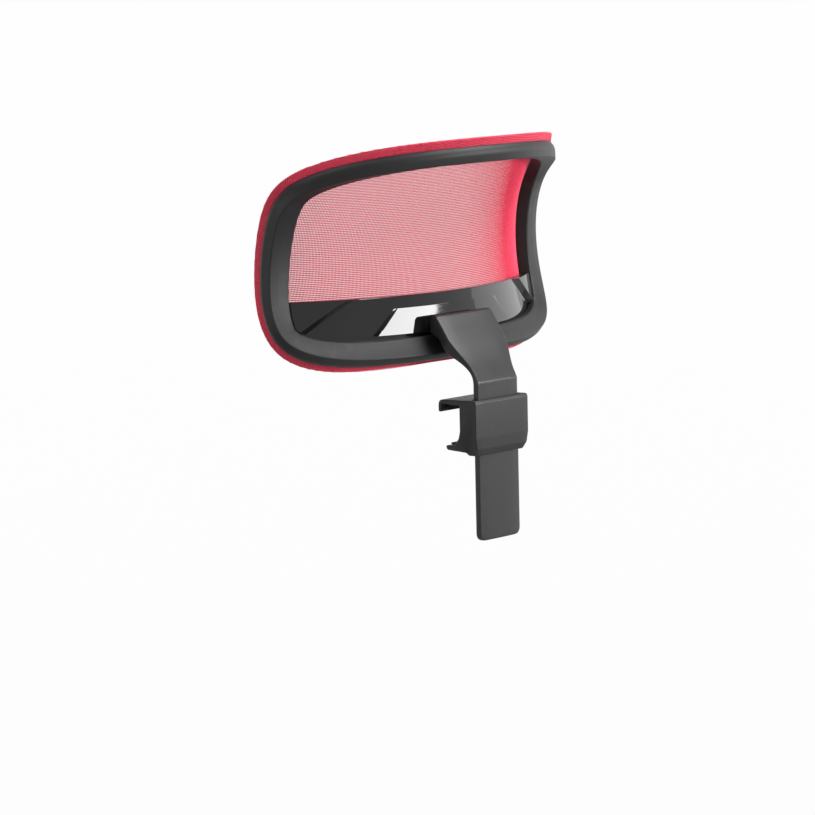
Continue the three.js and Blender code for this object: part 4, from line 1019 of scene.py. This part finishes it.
# ------------------------------------------------------------------ floor, light and camera
FLOOR_HALF, FLOOR_Z = 1500.0, -1000.0
AIM = Vector((0, 0, 0.07))                        # what every lamp points at, in metres
ROOM_HEIGHTS = [(0.2, 0.2), (0.33, 0.98), (0.62, 1.0), (0.8, 0.35)]      # share of the height, brightness
BRIGHT_WALL = (-0.75, -0.66, 0)                   # the way to the brightest wall, in front of the sitter
WALL_FADE, DIM_WALL = (-0.5, 0.7), 0.55           # how it fades round the room, and how dim the far wall is


def paper_floor():
    corners = [(x * FLOOR_HALF, y * FLOOR_HALF, FLOOR_Z) for x, y in ((-1, -1), (1, -1), (1, 1), (-1, 1))]
    floor = make("floor", corners, [(0, 1, 2, 3)], None, None, PLAIN)
    paper = Nodes("floor_paper")
    tone = paper.ramp(paper.noise(3, detail=2), [(0.4, grey(0.56)), (0.6, grey(0.58))])
    rough = paper.spread(paper.noise(60, detail=2), 0.7, 0.85)
    floor.data.materials[0] = paper.finish(tone, rough)
    return floor


floor = paper_floor()


def studio_world():
    """A white room, brightest about level in front of the sitter and dimmer above, below and behind."""
    world = bpy.data.worlds.new("studio")
    bpy.context.scene.world = world
    world.use_nodes = True
    tree = world.node_tree
    direction = tree.nodes.new("ShaderNodeTexCoord").outputs["Generated"]
    split = tree.nodes.new("ShaderNodeSeparateXYZ")
    tree.links.new(direction, split.inputs["Vector"])
    height = tree.nodes.new("ShaderNodeMapRange")
    height.inputs["From Min"].default_value = -1
    tree.links.new(split.outputs["Z"], height.inputs["Value"])
    by_height = tree.nodes.new("ShaderNodeValToRGB")
    fill_ramp(by_height.color_ramp, [(place, grey(value)) for place, value in ROOM_HEIGHTS])
    tree.links.new(height.outputs["Result"], by_height.inputs["Fac"])
    facing = tree.nodes.new("ShaderNodeVectorMath")
    facing.operation = "DOT_PRODUCT"
    facing.inputs[1].default_value = BRIGHT_WALL
    tree.links.new(direction, facing.inputs[0])
    around = tree.nodes.new("ShaderNodeMapRange")
    around.interpolation_type = "SMOOTHSTEP"
    around.inputs["From Min"].default_value = WALL_FADE[0]
    around.inputs["From Max"].default_value = WALL_FADE[1]
    around.inputs["To Min"].default_value = DIM_WALL
    tree.links.new(facing.outputs["Value"], around.inputs["Value"])
    sky = tree.nodes["Background"]
    tree.links.new(by_height.outputs["Color"], sky.inputs["Color"])
    tree.links.new(around.outputs["Result"], sky.inputs["Strength"])


def area_light(name, azimuth, elevation, away, width, height, radiance):
    """A soft box seen from the headrest: azimuth from the rear (+Y) towards +X, in degrees and metres."""
    a, e = math.radians(azimuth), math.radians(elevation)
    place = AIM + Vector((math.sin(a) * math.cos(e), math.cos(a) * math.cos(e), math.sin(e))) * away
    data = bpy.data.lights.new(name, "AREA")
    data.shape = "RECTANGLE"
    data.size, data.size_y = width, height
    data.energy = radiance * math.pi * width * height
    light = bpy.data.objects.new(name, data)
    bpy.context.scene.collection.objects.link(light)
    light.location = place
    light.rotation_mode = "QUATERNION"
    light.rotation_quaternion = (AIM - place).to_track_quat("-Z", "Y")
    light.visible_camera = False


studio_world()
area_light("key", -42, 56, away=1.4, width=0.85, height=0.8, radiance=11)
area_light("overhead", 150, 78, away=1.5, width=0.8, height=0.8, radiance=3)
area_light("rear_box", -26, 9.5, away=1.5, width=1.2, height=0.3, radiance=16)
area_light("side_wall", -80, -4, away=1.5, width=0.95, height=1.0, radiance=0.75)
area_light("near_side", 104, 14, away=1.5, width=0.9, height=0.9, radiance=1.3)
bpy.context.scene.view_settings.view_transform = "Standard"

# The camera stands behind the chair's left shoulder, a little above the headrest's middle.
AZIMUTH, ELEVATION, ROLL = math.radians(48.6), math.radians(7.35), math.radians(-1.32)
SENSOR, LENS = 36, 159.15
CAMERA_CENTRE = Vector((0, 22, 5))                # mm, as are the distances below
CAMERA_AWAY, CAMERA_LEFT, CAMERA_DOWN = 2849.6, 71.6, 7.51


def place_camera():
    back = Vector((math.sin(AZIMUTH) * math.cos(ELEVATION), math.cos(AZIMUTH) * math.cos(ELEVATION),
                   math.sin(ELEVATION)))
    level = Vector((-math.cos(AZIMUTH), math.sin(AZIMUTH), 0))
    upright = back.cross(level)
    right = level * math.cos(ROLL) + upright * math.sin(ROLL)
    up = upright * math.cos(ROLL) - level * math.sin(ROLL)
    data = bpy.data.cameras.new("camera")
    data.sensor_width = SENSOR
    data.lens = LENS
    camera = bpy.data.objects.new("camera", data)
    bpy.context.scene.collection.objects.link(camera)
    camera.location = (CAMERA_CENTRE + back * CAMERA_AWAY - right * CAMERA_LEFT - up * CAMERA_DOWN) * MM
    camera.rotation_mode = "QUATERNION"
    camera.rotation_quaternion = Matrix((right, up, back)).transposed().to_quaternion()
    bpy.context.scene.camera = camera


place_camera()
